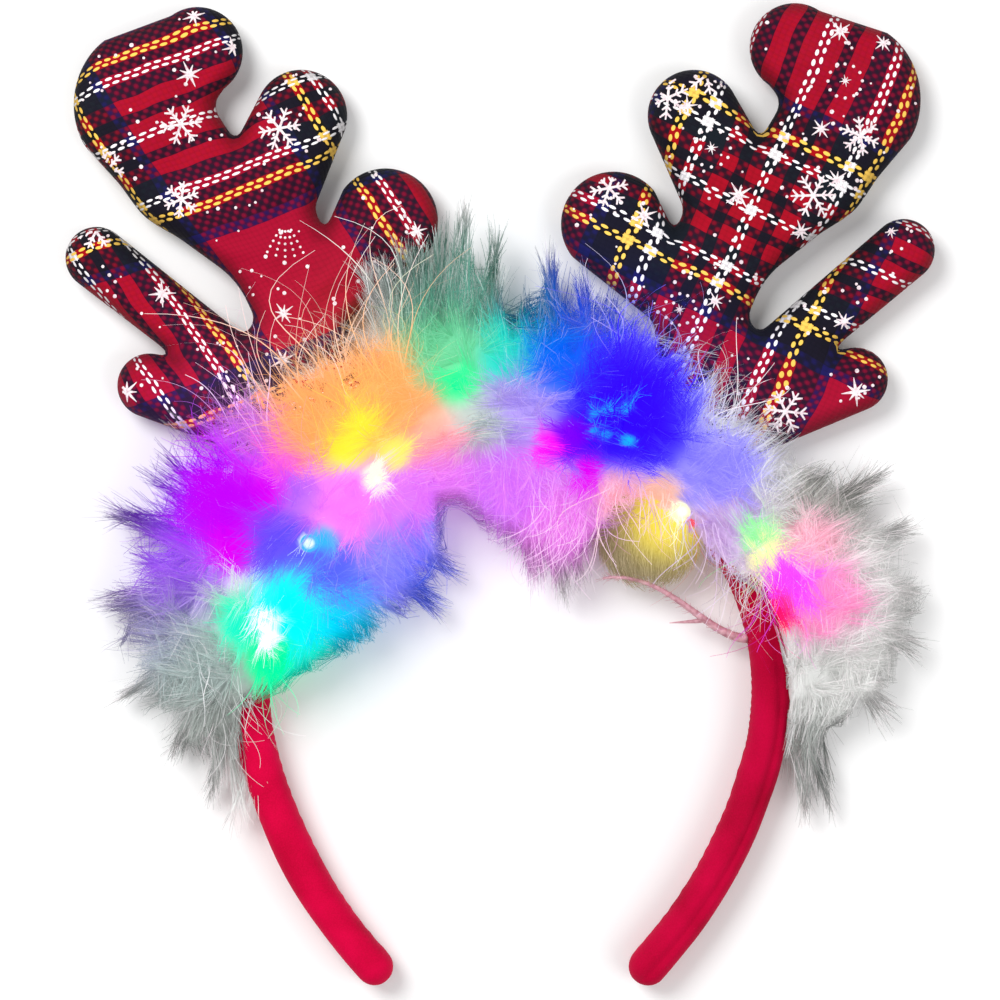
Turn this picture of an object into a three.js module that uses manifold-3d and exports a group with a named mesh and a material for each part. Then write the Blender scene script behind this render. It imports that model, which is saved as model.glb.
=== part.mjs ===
// Light-up reindeer-antler headband, lying on its back on a table.
// Units are millimetres. X runs to the right as seen from the front, Y from the open ends of the
// hoop towards the antler tops, and Z up from the table towards the front of the headband.
import * as THREE from "three";
import { mergeVertices } from "three/addons/utils/BufferGeometryUtils.js";
import Module from "manifold-3d";

const wasm = await Module();
wasm.setup();

// Driving dimensions
const GAP = 0.3;               // clearance kept between neighbouring pieces

const CROWN_RADIUS = 67;       // centreline of the hoop over the head
const LEG_RADIUS = 125;        // flatter curve of the two legs
const LEG_START = 14;          // degrees below the widest point where the legs begin
const LEG_END = 43;            // degrees below the widest point where the legs stop
const BAND_THICK = 10;         // padded band, outwards from the head
const BAND_DEPTH = 12;         // padded band, front to back
const BAND_SINK = 0.8;         // how far the soft underside is pressed flat

const ANTLER_AXIS = -3.3;      // the pair of antlers sits a little left of the hoop's middle
const ANTLER_HALF = 7.4;       // half the thickness of a stuffed antler
const ANTLER_SWELL = 12;       // distance from the seam over which the stuffing fills out
const ANTLER_MID = 6.6;        // height of the side seam above the table
const ANTLER_STEP = 4;         // spacing of the facets over an antler
const NOTCH_BLEND = 3;         // rounding in the notches between tines

const FLUFF_CLEAR = 0.6;       // feathers stay this far above the table
const CORE_SHARE = 0.56;       // dense middle of the boa, as a share of the feathers' reach
const CORE_RISE = 0.74;        // height of the dense middle, as a share of the front reach
const BAND_MID = BAND_DEPTH / 2;
const LOCK_WIDE = 6.4;         // radius of a lock of feathers where it leaves the middle
const LOCK_TIP = 1.2;          // radius at its tip
const LOCK_PITCH = 11.4;       // degrees along the hoop between rows of locks

const LED_RADIUS = 2.5;        // bulb
const LED_HEIGHT = 6;
const LED_SINK = 3.6;          // how deep a bulb sits in the boa

// Tines of one antler: outward from the pair's middle, up from the hoop's centre, and radius, at
// the root and at the tip
const TINES = [
  { part: "crown", root: [91, 153, 16.6], tip: [77, 163.4, 11.5] },
  { part: "upper beam", root: [91.5, 148.5, 17.2], tip: [80.5, 132.5, 14.5] },
  { part: "beam", root: [80.5, 132.5, 14.5], tip: [57, 113, 12.5] },
  { part: "stem", root: [57, 113, 12.5], tip: [49.5, 92, 10.5] },
  { part: "foot", root: [52, 83, 15], tip: [44, 63, 13] },
  { part: "upper tine", root: [61, 124, 13.2], tip: [50.5, 147, 11.8] },
  { part: "lower tine", root: [46, 97, 7], tip: [28.9, 120, 13.5] },
  { part: "side tine", root: [62, 78.5, 7.5], tip: [103, 110.5, 8] },
  { part: "brow tine", root: [58, 67.5, 9.5], tip: [89.5, 77.8, 8.2] },
];

// Each antler: side of the middle it stands on, how far it leans inwards about its beam, and how
// far it is set outwards
const ANTLERS = [
  { name: "antler_left", side: -1, lean: 0, shift: 0 },
  { name: "antler_right", side: 1, lean: 2.2, shift: 1.5 },
];
const LEAN_PIVOT = [50, 100];

// Reach of the feathers along the hoop: place on the hoop in degrees, towards the head, away from
// the head, and height of the front above the table
const BOA = [
  { at: 191, inner: 5, outer: 7, front: 15 },
  { at: 184, inner: 13, outer: 22, front: 21 },
  { at: 172, inner: 21, outer: 33, front: 27 },
  { at: 158, inner: 27, outer: 37, front: 31 },
  { at: 142, inner: 34, outer: 37, front: 32 },
  { at: 126, inner: 29, outer: 32, front: 31 },
  { at: 112, inner: 21, outer: 35, front: 30 },
  { at: 101, inner: 19, outer: 43, front: 30 },
  { at: 91, inner: 24, outer: 26, front: 29 },
  { at: 80, inner: 37, outer: 37, front: 30 },
  { at: 69, inner: 26, outer: 31, front: 30 },
  { at: 58, inner: 16, outer: 28, front: 30 },
  { at: 45, inner: 15, outer: 27, front: 29 },
  { at: 30, inner: 8, outer: 32, front: 28 },
  { at: 14, inner: 2.5, outer: 33, front: 27 },
  { at: 0, inner: 1.5, outer: 23, front: 21 },
  { at: -7, inner: 1, outer: 9, front: 15 },
];

// Directions of the locks round the boa: 0 is away from the head, 90 is to the front
const LOCK_WAYS = [-2, 44, 90, 136, 182];

// Bulbs: place on the hoop in degrees, distance outwards from the band's centreline, and colour
const LEDS = [
  { at: 165, out: -2.8, slot: "led_cyan" },
  { at: 145.4, out: 18.5, slot: "led_magenta" },
  { at: 143.5, out: -3.9, slot: "led_blue" },
  { at: 122.3, out: -3.6, slot: "led_white" },
  { at: 118.8, out: 10.2, slot: "led_yellow" },
  { at: 99.5, out: 11.9, slot: "led_green" },
  { at: 82, out: -4.4, slot: "led_magenta" },
  { at: 68.6, out: 5.6, slot: "led_blue" },
  { at: 46.5, out: -4.4, slot: "led_yellow" },
  { at: 30.4, out: 6.1, slot: "led_green" },
  { at: 17.9, out: 7.7, slot: "led_magenta" },
];

// Loose feather: the bare quill from the band inwards, and the downy lobe at its end
const QUILL = [[59.9, 13.2, 7], [50, 17.5, 7.6], [38, 25.5, 8.2], [27.5, 30, 8.4]];
const QUILL_ROOT = 1.1;        // radius at the band
const QUILL_TIP = 0.7;         // radius inside the down
const DOWN_CENTRE = [34.6, 35.4, 9];
const DOWN_HALF = [12, 11, 5.5];

// Finish of each kind of piece
const FINISHES = {
  tartan: { color: "#a3152e", roughness: 0.9 },
  band_cloth: { color: "#c4083f", roughness: 0.85 },
  feather: { color: "#eef0f4", roughness: 0.8 },
  led_cyan: { color: "#1ff0e0", emissive: "#1ff0e0", roughness: 0.3 },
  led_magenta: { color: "#e020f0", emissive: "#e020f0", roughness: 0.3 },
  led_blue: { color: "#2030ff", emissive: "#2030ff", roughness: 0.3 },
  led_white: { color: "#fff3d8", emissive: "#fff3d8", roughness: 0.3 },
  led_yellow: { color: "#ffe040", emissive: "#ffe040", roughness: 0.3 },
  led_green: { color: "#30f090", emissive: "#30f090", roughness: 0.3 },
};

const radians = THREE.MathUtils.degToRad;

// Repeatable scatter between 0 and 1
function scatter(n) {
  const s = Math.sin(n * 12.9898 + 4.1414) * 43758.5453;
  return s - Math.floor(s);
}

// Point of the hoop where its outward direction makes the given angle, moved outwards and raised
function hoopPoint(degrees, out, z) {
  const a = radians(degrees);
  const outward = new THREE.Vector2(Math.cos(a), Math.sin(a));
  const point = outward.clone().multiplyScalar(CROWN_RADIUS + out);
  const bend = degrees < -LEG_START ? -LEG_START : 180 + LEG_START;
  if (degrees < -LEG_START || degrees > 180 + LEG_START) {
    const b = radians(bend);
    const shift = CROWN_RADIUS - LEG_RADIUS;
    point.copy(outward).multiplyScalar(LEG_RADIUS + out);
    point.x += shift * Math.cos(b);
    point.y += shift * Math.sin(b);
  }
  return new THREE.Vector3(point.x, point.y, z);
}

// Closed skin through a row of rings with the same number of points, with a fan over each end
function loft(rings) {
  const count = rings[0].length;
  const positions = [];
  const index = [];
  for (const ring of rings) {
    for (const p of ring) positions.push(p.x, p.y, p.z);
  }
  for (let r = 0; r + 1 < rings.length; r += 1) {
    for (let i = 0; i < count; i += 1) {
      const a = r * count + i;
      const b = r * count + (i + 1) % count;
      index.push(a, b, b + count, a, b + count, a + count);
    }
  }
  for (const r of [0, rings.length - 1]) {
    const middle = new THREE.Vector3();
    for (const p of rings[r]) middle.addScaledVector(p, 1 / count);
    const hub = positions.length / 3;
    positions.push(middle.x, middle.y, middle.z);
    for (let i = 0; i < count; i += 1) {
      const a = r * count + i;
      const b = r * count + (i + 1) % count;
      if (r === 0) index.push(hub, b, a);
      else index.push(hub, a, b);
    }
  }
  return faceOutwards(positions, index);
}

// Geometry from points and triangles, turned so that the faces look outwards
function faceOutwards(positions, index) {
  const a = new THREE.Vector3();
  const b = new THREE.Vector3();
  const c = new THREE.Vector3();
  let volume = 0;
  for (let t = 0; t < index.length; t += 3) {
    a.fromArray(positions, index[t] * 3);
    b.fromArray(positions, index[t + 1] * 3);
    c.fromArray(positions, index[t + 2] * 3);
    volume += a.dot(b.cross(c));
  }
  if (volume < 0) {
    for (let t = 0; t < index.length; t += 3) {
      [index[t + 1], index[t + 2]] = [index[t + 2], index[t + 1]];
    }
  }
  const geometry = new THREE.BufferGeometry();
  geometry.setAttribute("position", new THREE.Float32BufferAttribute(positions, 3));
  geometry.setIndex(index);
  return geometry;
}

function toSolid(geometry) {
  return new wasm.Manifold(new wasm.Mesh({
    numProp: 3,
    vertProperties: new Float32Array(geometry.attributes.position.array),
    triVerts: new Uint32Array(geometry.index.array),
  }));
}

// Geometry of the largest body of a solid; crumbs that the cuts set loose are dropped
function mainBody(solid) {
  const mesh = solid.getMesh();
  const points = mesh.vertProperties;
  const stride = mesh.numProp;
  const faces = mesh.triVerts;
  const parent = Array.from({ length: points.length / stride }, (_, i) => i);
  const find = (i) => {
    let top = i;
    while (parent[top] !== top) top = parent[top] = parent[parent[top]];
    return top;
  };
  for (let t = 0; t < faces.length; t += 3) {
    parent[find(faces[t])] = find(faces[t + 1]);
    parent[find(faces[t + 2])] = find(faces[t + 1]);
  }
  const sizes = new Map();
  for (let t = 0; t < faces.length; t += 3) {
    const top = find(faces[t]);
    sizes.set(top, (sizes.get(top) ?? 0) + 1);
  }
  const largest = [...sizes.entries()].sort((p, q) => q[1] - p[1])[0][0];
  const renumber = new Map();
  const positions = [];
  const index = [];
  for (let t = 0; t < faces.length; t += 3) {
    if (find(faces[t]) !== largest) continue;
    for (let k = 0; k < 3; k += 1) {
      const v = faces[t + k];
      if (!renumber.has(v)) {
        renumber.set(v, positions.length / 3);
        positions.push(points[v * stride], points[v * stride + 1], points[v * stride + 2]);
      }
      index.push(renumber.get(v));
    }
  }
  return faceOutwards(positions, index);
}

// Padded band: rounded section, pressed flat where it rests, with domed ends
function bandRing(degrees, swell, along, share) {
  const ring = [];
  const sides = 12;
  const way = radians(degrees);
  for (let i = 0; i < sides; i += 1) {
    const a = (i / sides) * Math.PI * 2;
    const bulge = (v) => Math.sign(v) * Math.abs(v) ** 0.8;
    const out = bulge(Math.cos(a)) * (BAND_THICK / 2 + swell) * share;
    const rise = bulge(Math.sin(a)) * (BAND_DEPTH / 2 + BAND_SINK / 2 + swell) * share;
    const z = Math.max(BAND_MID - BAND_SINK / 2 + rise, -swell);
    const p = hoopPoint(degrees, out, z);
    p.x += Math.sin(way) * along;
    p.y -= Math.cos(way) * along;
    ring.push(p);
  }
  return ring;
}

function band(swell, steps) {
  const rings = [];
  const first = -LEG_END;
  const last = 180 + LEG_END;
  const dome = BAND_THICK / 2 + swell;
  for (const turn of [80, 50, 25]) {
    rings.push(bandRing(first, swell, dome * Math.sin(radians(turn)), Math.cos(radians(turn))));
  }
  for (let i = 0; i <= steps; i += 1) {
    rings.push(bandRing(first + (i / steps) * (last - first), swell, 0, 1));
  }
  for (const turn of [25, 50, 80]) {
    rings.push(bandRing(last, swell, -dome * Math.sin(radians(turn)), Math.cos(radians(turn))));
  }
  return loft(rings);
}

// Distance to the outline of one antler: below nought inside, above nought outside
function antlerOutline(u, v) {
  let distance = Infinity;
  for (const { root, tip } of TINES) {
    const du = tip[0] - root[0];
    const dv = tip[1] - root[1];
    const along = ((u - root[0]) * du + (v - root[1]) * dv) / (du * du + dv * dv);
    const t = THREE.MathUtils.clamp(along, 0, 1);
    const radius = root[2] + (tip[2] - root[2]) * t;
    const d = Math.hypot(u - root[0] - du * t, v - root[1] - dv * t) - radius;
    const near = Math.max(NOTCH_BLEND - Math.abs(distance - d), 0) / NOTCH_BLEND;
    distance = Math.min(distance, d) - (Number.isFinite(distance) ? near * near * NOTCH_BLEND / 4 : 0);
  }
  return distance;
}

// Stuffed antler: the outline cut into grid cells, swelling to front and back from its seam
function antler({ side, lean, shift }, swell) {
  const uStart = 5;
  const vStart = 40;
  const cols = Math.ceil(115 / ANTLER_STEP);
  const rows = Math.ceil(150 / ANTLER_STEP);
  const inside = (u, v) => swell - antlerOutline(u, v);
  const place = (u, v, z) => {
    const turn = radians(lean);
    const du = u - LEAN_PIVOT[0];
    const dv = v - LEAN_PIVOT[1];
    const x = LEAN_PIVOT[0] + du * Math.cos(turn) - dv * Math.sin(turn);
    const y = LEAN_PIVOT[1] + du * Math.sin(turn) + dv * Math.cos(turn);
    return [ANTLER_AXIS + side * (x + shift), y, z];
  };
  const positions = [];
  const index = [];
  const seen = new Map();
  const vertex = (key, u, v, depth, face) => {
    const seam = depth === 0;
    const name = seam ? key : `${key} ${face}`;
    if (!seen.has(name)) {
      const fill = 1 - Math.min(depth / ANTLER_SWELL, 1);
      const half = seam ? 0 : (ANTLER_HALF + swell) * Math.sqrt(1 - fill * fill);
      const z = Math.max(ANTLER_MID + face * half, -swell);
      seen.set(name, positions.length / 3);
      positions.push(...place(u, v, z));
    }
    return seen.get(name);
  };
  const corners = [[0, 0], [1, 0], [1, 1], [0, 1]];
  for (let i = 0; i < cols; i += 1) {
    for (let j = 0; j < rows; j += 1) {
      const outline = [];
      for (let k = 0; k < 4; k += 1) {
        const [i0, j0] = [i + corners[k][0], j + corners[k][1]];
        const [i1, j1] = [i + corners[(k + 1) % 4][0], j + corners[(k + 1) % 4][1]];
        const [u0, v0] = [uStart + i0 * ANTLER_STEP, vStart + j0 * ANTLER_STEP];
        const [u1, v1] = [uStart + i1 * ANTLER_STEP, vStart + j1 * ANTLER_STEP];
        const d0 = inside(u0, v0);
        const d1 = inside(u1, v1);
        if (d0 > 0) outline.push([`${i0},${j0}`, u0, v0, d0]);
        if (d0 > 0 !== d1 > 0) {
          const t = THREE.MathUtils.clamp(d0 / (d0 - d1), 0.06, 0.94);
          const key = [`${i0},${j0}`, `${i1},${j1}`].sort().join("-");
          outline.push([key, u0 + (u1 - u0) * t, v0 + (v1 - v0) * t, 0]);
        }
      }
      for (let k = 1; k + 1 < outline.length; k += 1) {
        const triangle = [outline[0], outline[k], outline[k + 1]];
        const front = triangle.map(([key, u, v, depth]) => vertex(key, u, v, depth, 1));
        const back = triangle.map(([key, u, v, depth]) => vertex(key, u, v, depth, -1));
        index.push(front[0], front[1], front[2], back[0], back[2], back[1]);
      }
    }
  }
  return faceOutwards(positions, index);
}

// Reach of the feathers at any place along the hoop
function boaReach(degrees) {
  const next = BOA.findIndex((row) => row.at <= degrees);
  if (next === 0) return BOA[0];
  if (next < 0) return BOA[BOA.length - 1];
  const a = BOA[next - 1];
  const b = BOA[next];
  const t = (a.at - degrees) / (a.at - b.at);
  const mix = (key) => THREE.MathUtils.lerp(a[key], b[key], t);
  return { inner: mix("inner"), outer: mix("outer"), front: mix("front") };
}

// Point round the boa: way 0 is away from the head, 90 is the front, 180 is towards the head
function boaPoint(degrees, way, flat, rise) {
  const reach = boaReach(degrees);
  const c = Math.cos(radians(way));
  const s = Math.sin(radians(way));
  const out = (c > 0 ? reach.outer : reach.inner) * c * flat;
  const z = BAND_MID + (reach.front - BAND_MID) * s * rise;
  return hoopPoint(degrees, out, z);
}

function boaCore() {
  const rings = [];
  const sides = 10;
  const first = BOA[0].at;
  const last = BOA[BOA.length - 1].at;
  const steps = 22;
  for (let i = 0; i <= steps; i += 1) {
    const degrees = first + (i / steps) * (last - first);
    const ring = [];
    for (let k = 0; k < sides; k += 1) {
      const way = -40 + (k / (sides - 1)) * 260;
      const p = boaPoint(degrees, way, CORE_SHARE, CORE_RISE);
      p.z = Math.max(p.z, FLUFF_CLEAR);
      ring.push(p);
    }
    rings.push(ring);
  }
  return loft(rings);
}

// One lock: a bent, tapering tuft from inside the boa to its tip
function lock(degrees, way, seed) {
  const sides = 4;
  const sweep = (scatter(seed) - 0.5) * 16;
  const length = 0.84 + 0.3 * scatter(seed + 0.37);
  const tilt = way + (scatter(seed + 0.71) - 0.5) * 22;
  const root = boaPoint(degrees, way, CORE_SHARE * 0.55, CORE_RISE * 0.55);
  const bend = boaPoint(degrees + sweep * 0.25, tilt, CORE_SHARE * 1.15, CORE_RISE * 1.1);
  const tip = boaPoint(degrees + sweep * 0.7, tilt, length, length);
  tip.z = Math.max(tip.z, FLUFF_CLEAR + 1.6);
  const spine = new THREE.QuadraticBezierCurve3(root, bend, tip);
  const rings = [];
  for (const [along, share] of [[0, 0.85], [0.55, 1], [1, 0]]) {
    const p = spine.getPoint(along);
    const ahead = spine.getTangent(along);
    const a = new THREE.Vector3().crossVectors(ahead, new THREE.Vector3(0.31, 0.27, 0.91)).normalize();
    const b = new THREE.Vector3().crossVectors(ahead, a);
    const radius = LOCK_TIP + (LOCK_WIDE - LOCK_TIP) * share;
    const ring = [];
    for (let k = 0; k < sides; k += 1) {
      const turn = (k / sides) * Math.PI * 2;
      const q = p.clone();
      q.addScaledVector(a, Math.cos(turn) * radius);
      q.addScaledVector(b, Math.sin(turn) * radius);
      ring.push(q);
    }
    rings.push(ring);
  }
  return loft(rings);
}

function boaLocks() {
  const locks = [];
  let row = 0;
  for (let degrees = BOA[0].at - 3; degrees > BOA[BOA.length - 1].at + 2; degrees -= LOCK_PITCH) {
    const reach = boaReach(degrees);
    LOCK_WAYS.forEach((way, k) => {
      const side = Math.abs(way) < 90 ? reach.outer : reach.inner;
      const short = Math.cos(radians(way)) ** 2 > 0.5 && side < 11;
      const skipped = (row + k) % 3 === 2 && way > 20 && way < 160;
      if (!short && !skipped) locks.push(lock(degrees + (k % 2) * 5.7, way, row * 7.3 + k * 1.9));
    });
    row += 1;
  }
  return locks;
}

// Height of the dense middle of the boa above a place on the hoop
function coreHeight(degrees, out) {
  const reach = boaReach(degrees);
  const across = out / ((out > 0 ? reach.outer : reach.inner) * CORE_SHARE);
  const rise = Math.sqrt(Math.max(1 - across * across, 0));
  return BAND_MID + (reach.front - BAND_MID) * CORE_RISE * rise;
}

// Place of a bulb's foot: sunk into the boa, and clear of the band below
function ledPlace({ at, out }) {
  return hoopPoint(at, out, Math.max(coreHeight(at, out) - LED_SINK, BAND_DEPTH + 1));
}

// Bulb: short barrel with a domed lens
function bulb(swell) {
  const sides = 8;
  const radius = LED_RADIUS + swell;
  const shoulder = LED_HEIGHT - LED_RADIUS;
  const profile = [[radius, -swell], [radius, shoulder]];
  for (const turn of [34, 72]) {
    profile.push([radius * Math.cos(radians(turn)), shoulder + radius * Math.sin(radians(turn))]);
  }
  return loft(profile.map(([r, h]) => {
    const ring = [];
    for (let k = 0; k < sides; k += 1) {
      const turn = (k / sides) * Math.PI * 2;
      ring.push(new THREE.Vector3(r * Math.cos(turn), r * Math.sin(turn), h));
    }
    return ring;
  }));
}

// Loose feather: bare quill with a downy lobe round its tip
function quill(swell) {
  const curve = new THREE.CatmullRomCurve3(QUILL.map((p) => new THREE.Vector3(...p)));
  const rings = [];
  const steps = 9;
  for (let i = 0; i <= steps; i += 1) {
    const p = curve.getPoint(i / steps);
    const ahead = curve.getTangent(i / steps);
    const a = new THREE.Vector3(0, 0, 1).cross(ahead).normalize();
    const b = new THREE.Vector3().crossVectors(ahead, a);
    const radius = THREE.MathUtils.lerp(QUILL_ROOT, QUILL_TIP, i / steps) + swell;
    const ring = [];
    for (let k = 0; k < 6; k += 1) {
      const turn = (k / 6) * Math.PI * 2;
      const q = p.clone();
      q.addScaledVector(a, Math.cos(turn) * radius);
      q.addScaledVector(b, Math.sin(turn) * radius);
      ring.push(q);
    }
    rings.push(ring);
  }
  return loft(rings);
}

function down(swell) {
  const rings = [];
  for (const rise of [-74, -36, 0, 36, 74]) {
    const ring = [];
    for (let k = 0; k < 12; k += 1) {
      const turn = (k / 12) * Math.PI * 2;
      const wave = 1 + 0.09 * (scatter(k * 3.1) - 0.5);
      const wide = Math.cos(radians(rise)) * wave;
      ring.push(new THREE.Vector3(
        DOWN_CENTRE[0] + (DOWN_HALF[0] + swell) * Math.cos(turn) * wide,
        DOWN_CENTRE[1] + (DOWN_HALF[1] + swell) * Math.sin(turn) * wide,
        DOWN_CENTRE[2] + (DOWN_HALF[2] + swell) * Math.sin(radians(rise)),
      ));
    }
    rings.push(ring);
  }
  return loft(rings);
}

// Pieces, each cut back where a neighbour stands
const bandRoom = toSolid(band(GAP, 38));
const boaTunnel = toSolid(band(2 * GAP, 26));
const antlerRooms = ANTLERS.map((row) => toSolid(antler(row, GAP)));
const ledRooms = LEDS.map((row) => toSolid(bulb(GAP).translate(...ledPlace(row))));
const featherRoom = toSolid(quill(GAP)).add(toSolid(down(GAP)));

const headband = new THREE.Group();
headband.name = "headband";

function addPiece(name, slot, geometry) {
  geometry.computeVertexNormals();
  const mesh = new THREE.Mesh(geometry, new THREE.MeshStandardMaterial({ metalness: 0, ...FINISHES[slot] }));
  mesh.name = name;
  mesh.material.name = slot;
  headband.add(mesh);
  return mesh;
}

addPiece("head_band", "band_cloth", band(0, 38));
for (const row of ANTLERS) {
  const solid = toSolid(antler(row, 0)).subtract(bandRoom);
  addPiece(row.name, "tartan", mainBody(solid));
}

let boa = toSolid(boaCore());
for (const tuft of boaLocks()) boa = boa.add(toSolid(tuft));
const table = new THREE.BoxGeometry(400, 400, 20);
table.translate(0, 0, FLUFF_CLEAR - 10);
table.deleteAttribute("uv");
table.deleteAttribute("normal");
boa = boa.subtract(toSolid(mergeVertices(table)));
for (const room of [boaTunnel, ...antlerRooms, ...ledRooms, featherRoom]) boa = boa.subtract(room);
addPiece("feather_boa", "feather", mainBody(boa));

LEDS.forEach((row, i) => {
  const light = addPiece(`led_${i + 1}`, row.slot, bulb(0));
  light.position.copy(ledPlace(row));
});

const looseFeather = toSolid(quill(0)).add(toSolid(down(0))).subtract(bandRoom);
addPiece("loose_feather", "feather", mainBody(looseFeather));

// The whole headband stands with its bottom centre at the origin
const box = new THREE.Box3().setFromObject(headband);
const middle = box.getCenter(new THREE.Vector3());
headband.position.set(-middle.x, -middle.y, -box.min.z);

export default headband;
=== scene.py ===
import math
import bmesh
import bpy
import numpy as np
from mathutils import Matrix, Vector
from mathutils.bvhtree import BVHTree
from mathutils.geometry import delaunay_2d_cdt


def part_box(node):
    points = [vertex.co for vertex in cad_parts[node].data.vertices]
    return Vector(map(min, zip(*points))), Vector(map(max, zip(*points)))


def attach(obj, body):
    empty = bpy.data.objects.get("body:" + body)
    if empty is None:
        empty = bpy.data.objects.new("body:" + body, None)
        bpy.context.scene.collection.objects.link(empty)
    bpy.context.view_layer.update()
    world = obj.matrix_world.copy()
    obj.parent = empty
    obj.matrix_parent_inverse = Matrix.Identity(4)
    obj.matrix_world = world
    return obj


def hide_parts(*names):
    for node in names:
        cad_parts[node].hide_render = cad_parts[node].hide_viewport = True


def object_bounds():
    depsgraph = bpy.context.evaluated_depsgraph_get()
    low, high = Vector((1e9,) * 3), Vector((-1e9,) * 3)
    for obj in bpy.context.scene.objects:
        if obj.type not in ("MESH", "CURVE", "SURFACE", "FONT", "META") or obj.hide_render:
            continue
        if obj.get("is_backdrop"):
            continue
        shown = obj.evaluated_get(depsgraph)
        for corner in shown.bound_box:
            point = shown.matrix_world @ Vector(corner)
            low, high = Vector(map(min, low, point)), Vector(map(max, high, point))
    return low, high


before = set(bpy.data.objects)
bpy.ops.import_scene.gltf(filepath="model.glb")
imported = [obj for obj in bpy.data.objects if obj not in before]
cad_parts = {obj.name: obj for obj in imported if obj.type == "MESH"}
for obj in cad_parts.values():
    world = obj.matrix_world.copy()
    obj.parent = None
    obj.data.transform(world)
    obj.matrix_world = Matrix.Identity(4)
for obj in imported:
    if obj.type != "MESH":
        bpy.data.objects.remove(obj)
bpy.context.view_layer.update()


# Head band
# A springy hair hoop pulled into a padded sleeve of red napped cloth. The sleeve is drawn tight round
# the hoop, creased along its front on the right leg, and tucked in at the two domed ends.
MM = 0.001
CROWN_RADIUS = 67 * MM
LEG_RADIUS = 125 * MM
LEG_START = 14  # degrees below level where the crown's arc turns into a leg
LEG_END = 43
BAND_THICK = 10 * MM
BAND_DEPTH = 12 * MM
BAND_SINK = 0.8 * MM  # how far the underside is pressed flat
BAND_FULLNESS = 0.8  # power of the section: 1 is an ellipse, less is squarer
BAND_STATIONS = 330
BAND_SIDES = 44
DOME_TURNS = 86, 78, 68, 57, 45, 33, 21, 10  # degrees up the domed ends
BAND_PADDING = 0.28 * MM
PADDING_LUMPS = (21 * MM, 1), (8 * MM, 0.4)  # size and strength
BAND_WRINKLE = 0.1 * MM
WRINKLE_WAVE, WRINKLE_DRIFT = 4.3, 0.37  # radians for each degree along the hoop
CREASE_DEPTH = 1.0 * MM
CREASE_START, CREASE_FULL = 22, -4  # degrees along the hoop
CREASE_SIDE, CREASE_WIDTH = 1.3, 0.16  # radians round the section, from its outer side
CREASE_WANDER, CREASE_DRIFT = 0.1, 0.11
LIP_SIDE, LIP_WIDTH, LIP_SHARE = 1.7, 0.34, 0.45
band_low, band_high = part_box("head_band")
HOOP_X = (band_low.x + band_high.x) / 2
HOOP_Y = band_high.y - CROWN_RADIUS - BAND_THICK / 2


def linear(red, green, blue):
    """Colour as light, from the 0 to 255 values that the eye compares."""
    values = np.array([red, green, blue]) / 255
    return np.where(values <= 0.04045, values / 12.92, ((values + 0.055) / 1.055) ** 2.4)


def hoop_point(degrees, out, along=0.0):
    """Place on the hoop whose outward direction has this angle, moved outwards and along the hoop."""
    degrees = np.asarray(degrees, float)
    turn = np.radians(degrees)
    bend = np.radians(np.where(degrees < 90, -LEG_START, 180 + LEG_START))
    on_leg = (degrees < -LEG_START) | (degrees > 180 + LEG_START)
    radius = np.where(on_leg, LEG_RADIUS, CROWN_RADIUS)
    shift = np.where(on_leg, CROWN_RADIUS - LEG_RADIUS, 0)
    x = HOOP_X + shift * np.cos(bend) + (radius + out) * np.cos(turn) - along * np.sin(turn)
    y = HOOP_Y + shift * np.sin(bend) + (radius + out) * np.sin(turn) + along * np.cos(turn)
    return x, y


def soft_noise(points, size, seed):
    """Smooth lumps of about the given size, from -1 to 1, the same on every run."""
    cells = np.asarray(points, float) / size
    low = np.floor(cells).astype(np.int64)
    part = cells - low
    part = part * part * (3 - 2 * part)
    total = np.zeros(len(cells))
    for corner in range(8):
        step = np.array([corner & 1, corner >> 1 & 1, corner >> 2 & 1])
        key = (low + step) @ np.array([73856093, 19349663, 83492791]) + seed * 2654435761
        key = (key ^ (key >> 13)) * 1274126177 & 0x7FFFFFFF
        key = (key ^ (key >> 11)) * 40503 & 0x7FFFFFFF
        weight = np.prod(np.where(step == 1, part, 1 - part), axis=1)
        total += weight * ((key % 20011) / 10005 - 1)
    return total


def layered_noise(points, layers, seed):
    """Sum of smooth lumps in layers of a size and a strength, each layer with the next seed."""
    return sum(strength * soft_noise(points, size, seed + k) for k, (size, strength) in enumerate(layers))


def mesh_object(name, points, faces, closed=False):
    """New smooth object from points and faces; a closed body gets its faces turned outwards."""
    mesh = bpy.data.meshes.new(name)
    mesh.from_pydata(np.asarray(points).tolist(), [], [tuple(face) for face in faces])
    if closed:
        body = bmesh.new()
        body.from_mesh(mesh)
        bmesh.ops.recalc_face_normals(body, faces=body.faces)
        body.to_mesh(mesh)
        body.free()
    mesh.polygons.foreach_set("use_smooth", np.full(len(mesh.polygons), True))
    obj = bpy.data.objects.new(name, mesh)
    bpy.context.scene.collection.objects.link(obj)
    return obj


def ringed_body(name, rings):
    """Closed body from rows of rings of points, each end closed with a fan to its middle."""
    rows, cols = rings.shape[:2]
    i, j = np.meshgrid(np.arange(rows - 1), np.arange(cols), indexing="ij")
    a = i * cols + j
    b = i * cols + (j + 1) % cols
    walls = np.stack([a, b, b + cols, a + cols], -1).reshape(-1, 4)
    ring = np.arange(cols)
    after = (ring + 1) % cols
    hub, last = rows * cols, (rows - 1) * cols
    first_end = np.stack([np.full(cols, hub), after, ring], -1)
    last_end = np.stack([np.full(cols, hub + 1), last + ring, last + after], -1)
    points = np.vstack([rings.reshape(-1, 3), rings[0].mean(0), rings[-1].mean(0)])
    return mesh_object(name, points, walls.tolist() + first_end.tolist() + last_end.tolist(), closed=True)


def bulge(value):
    """Sine or cosine of a section, rounded out towards a box."""
    return np.sign(value) * np.abs(value) ** BAND_FULLNESS


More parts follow.
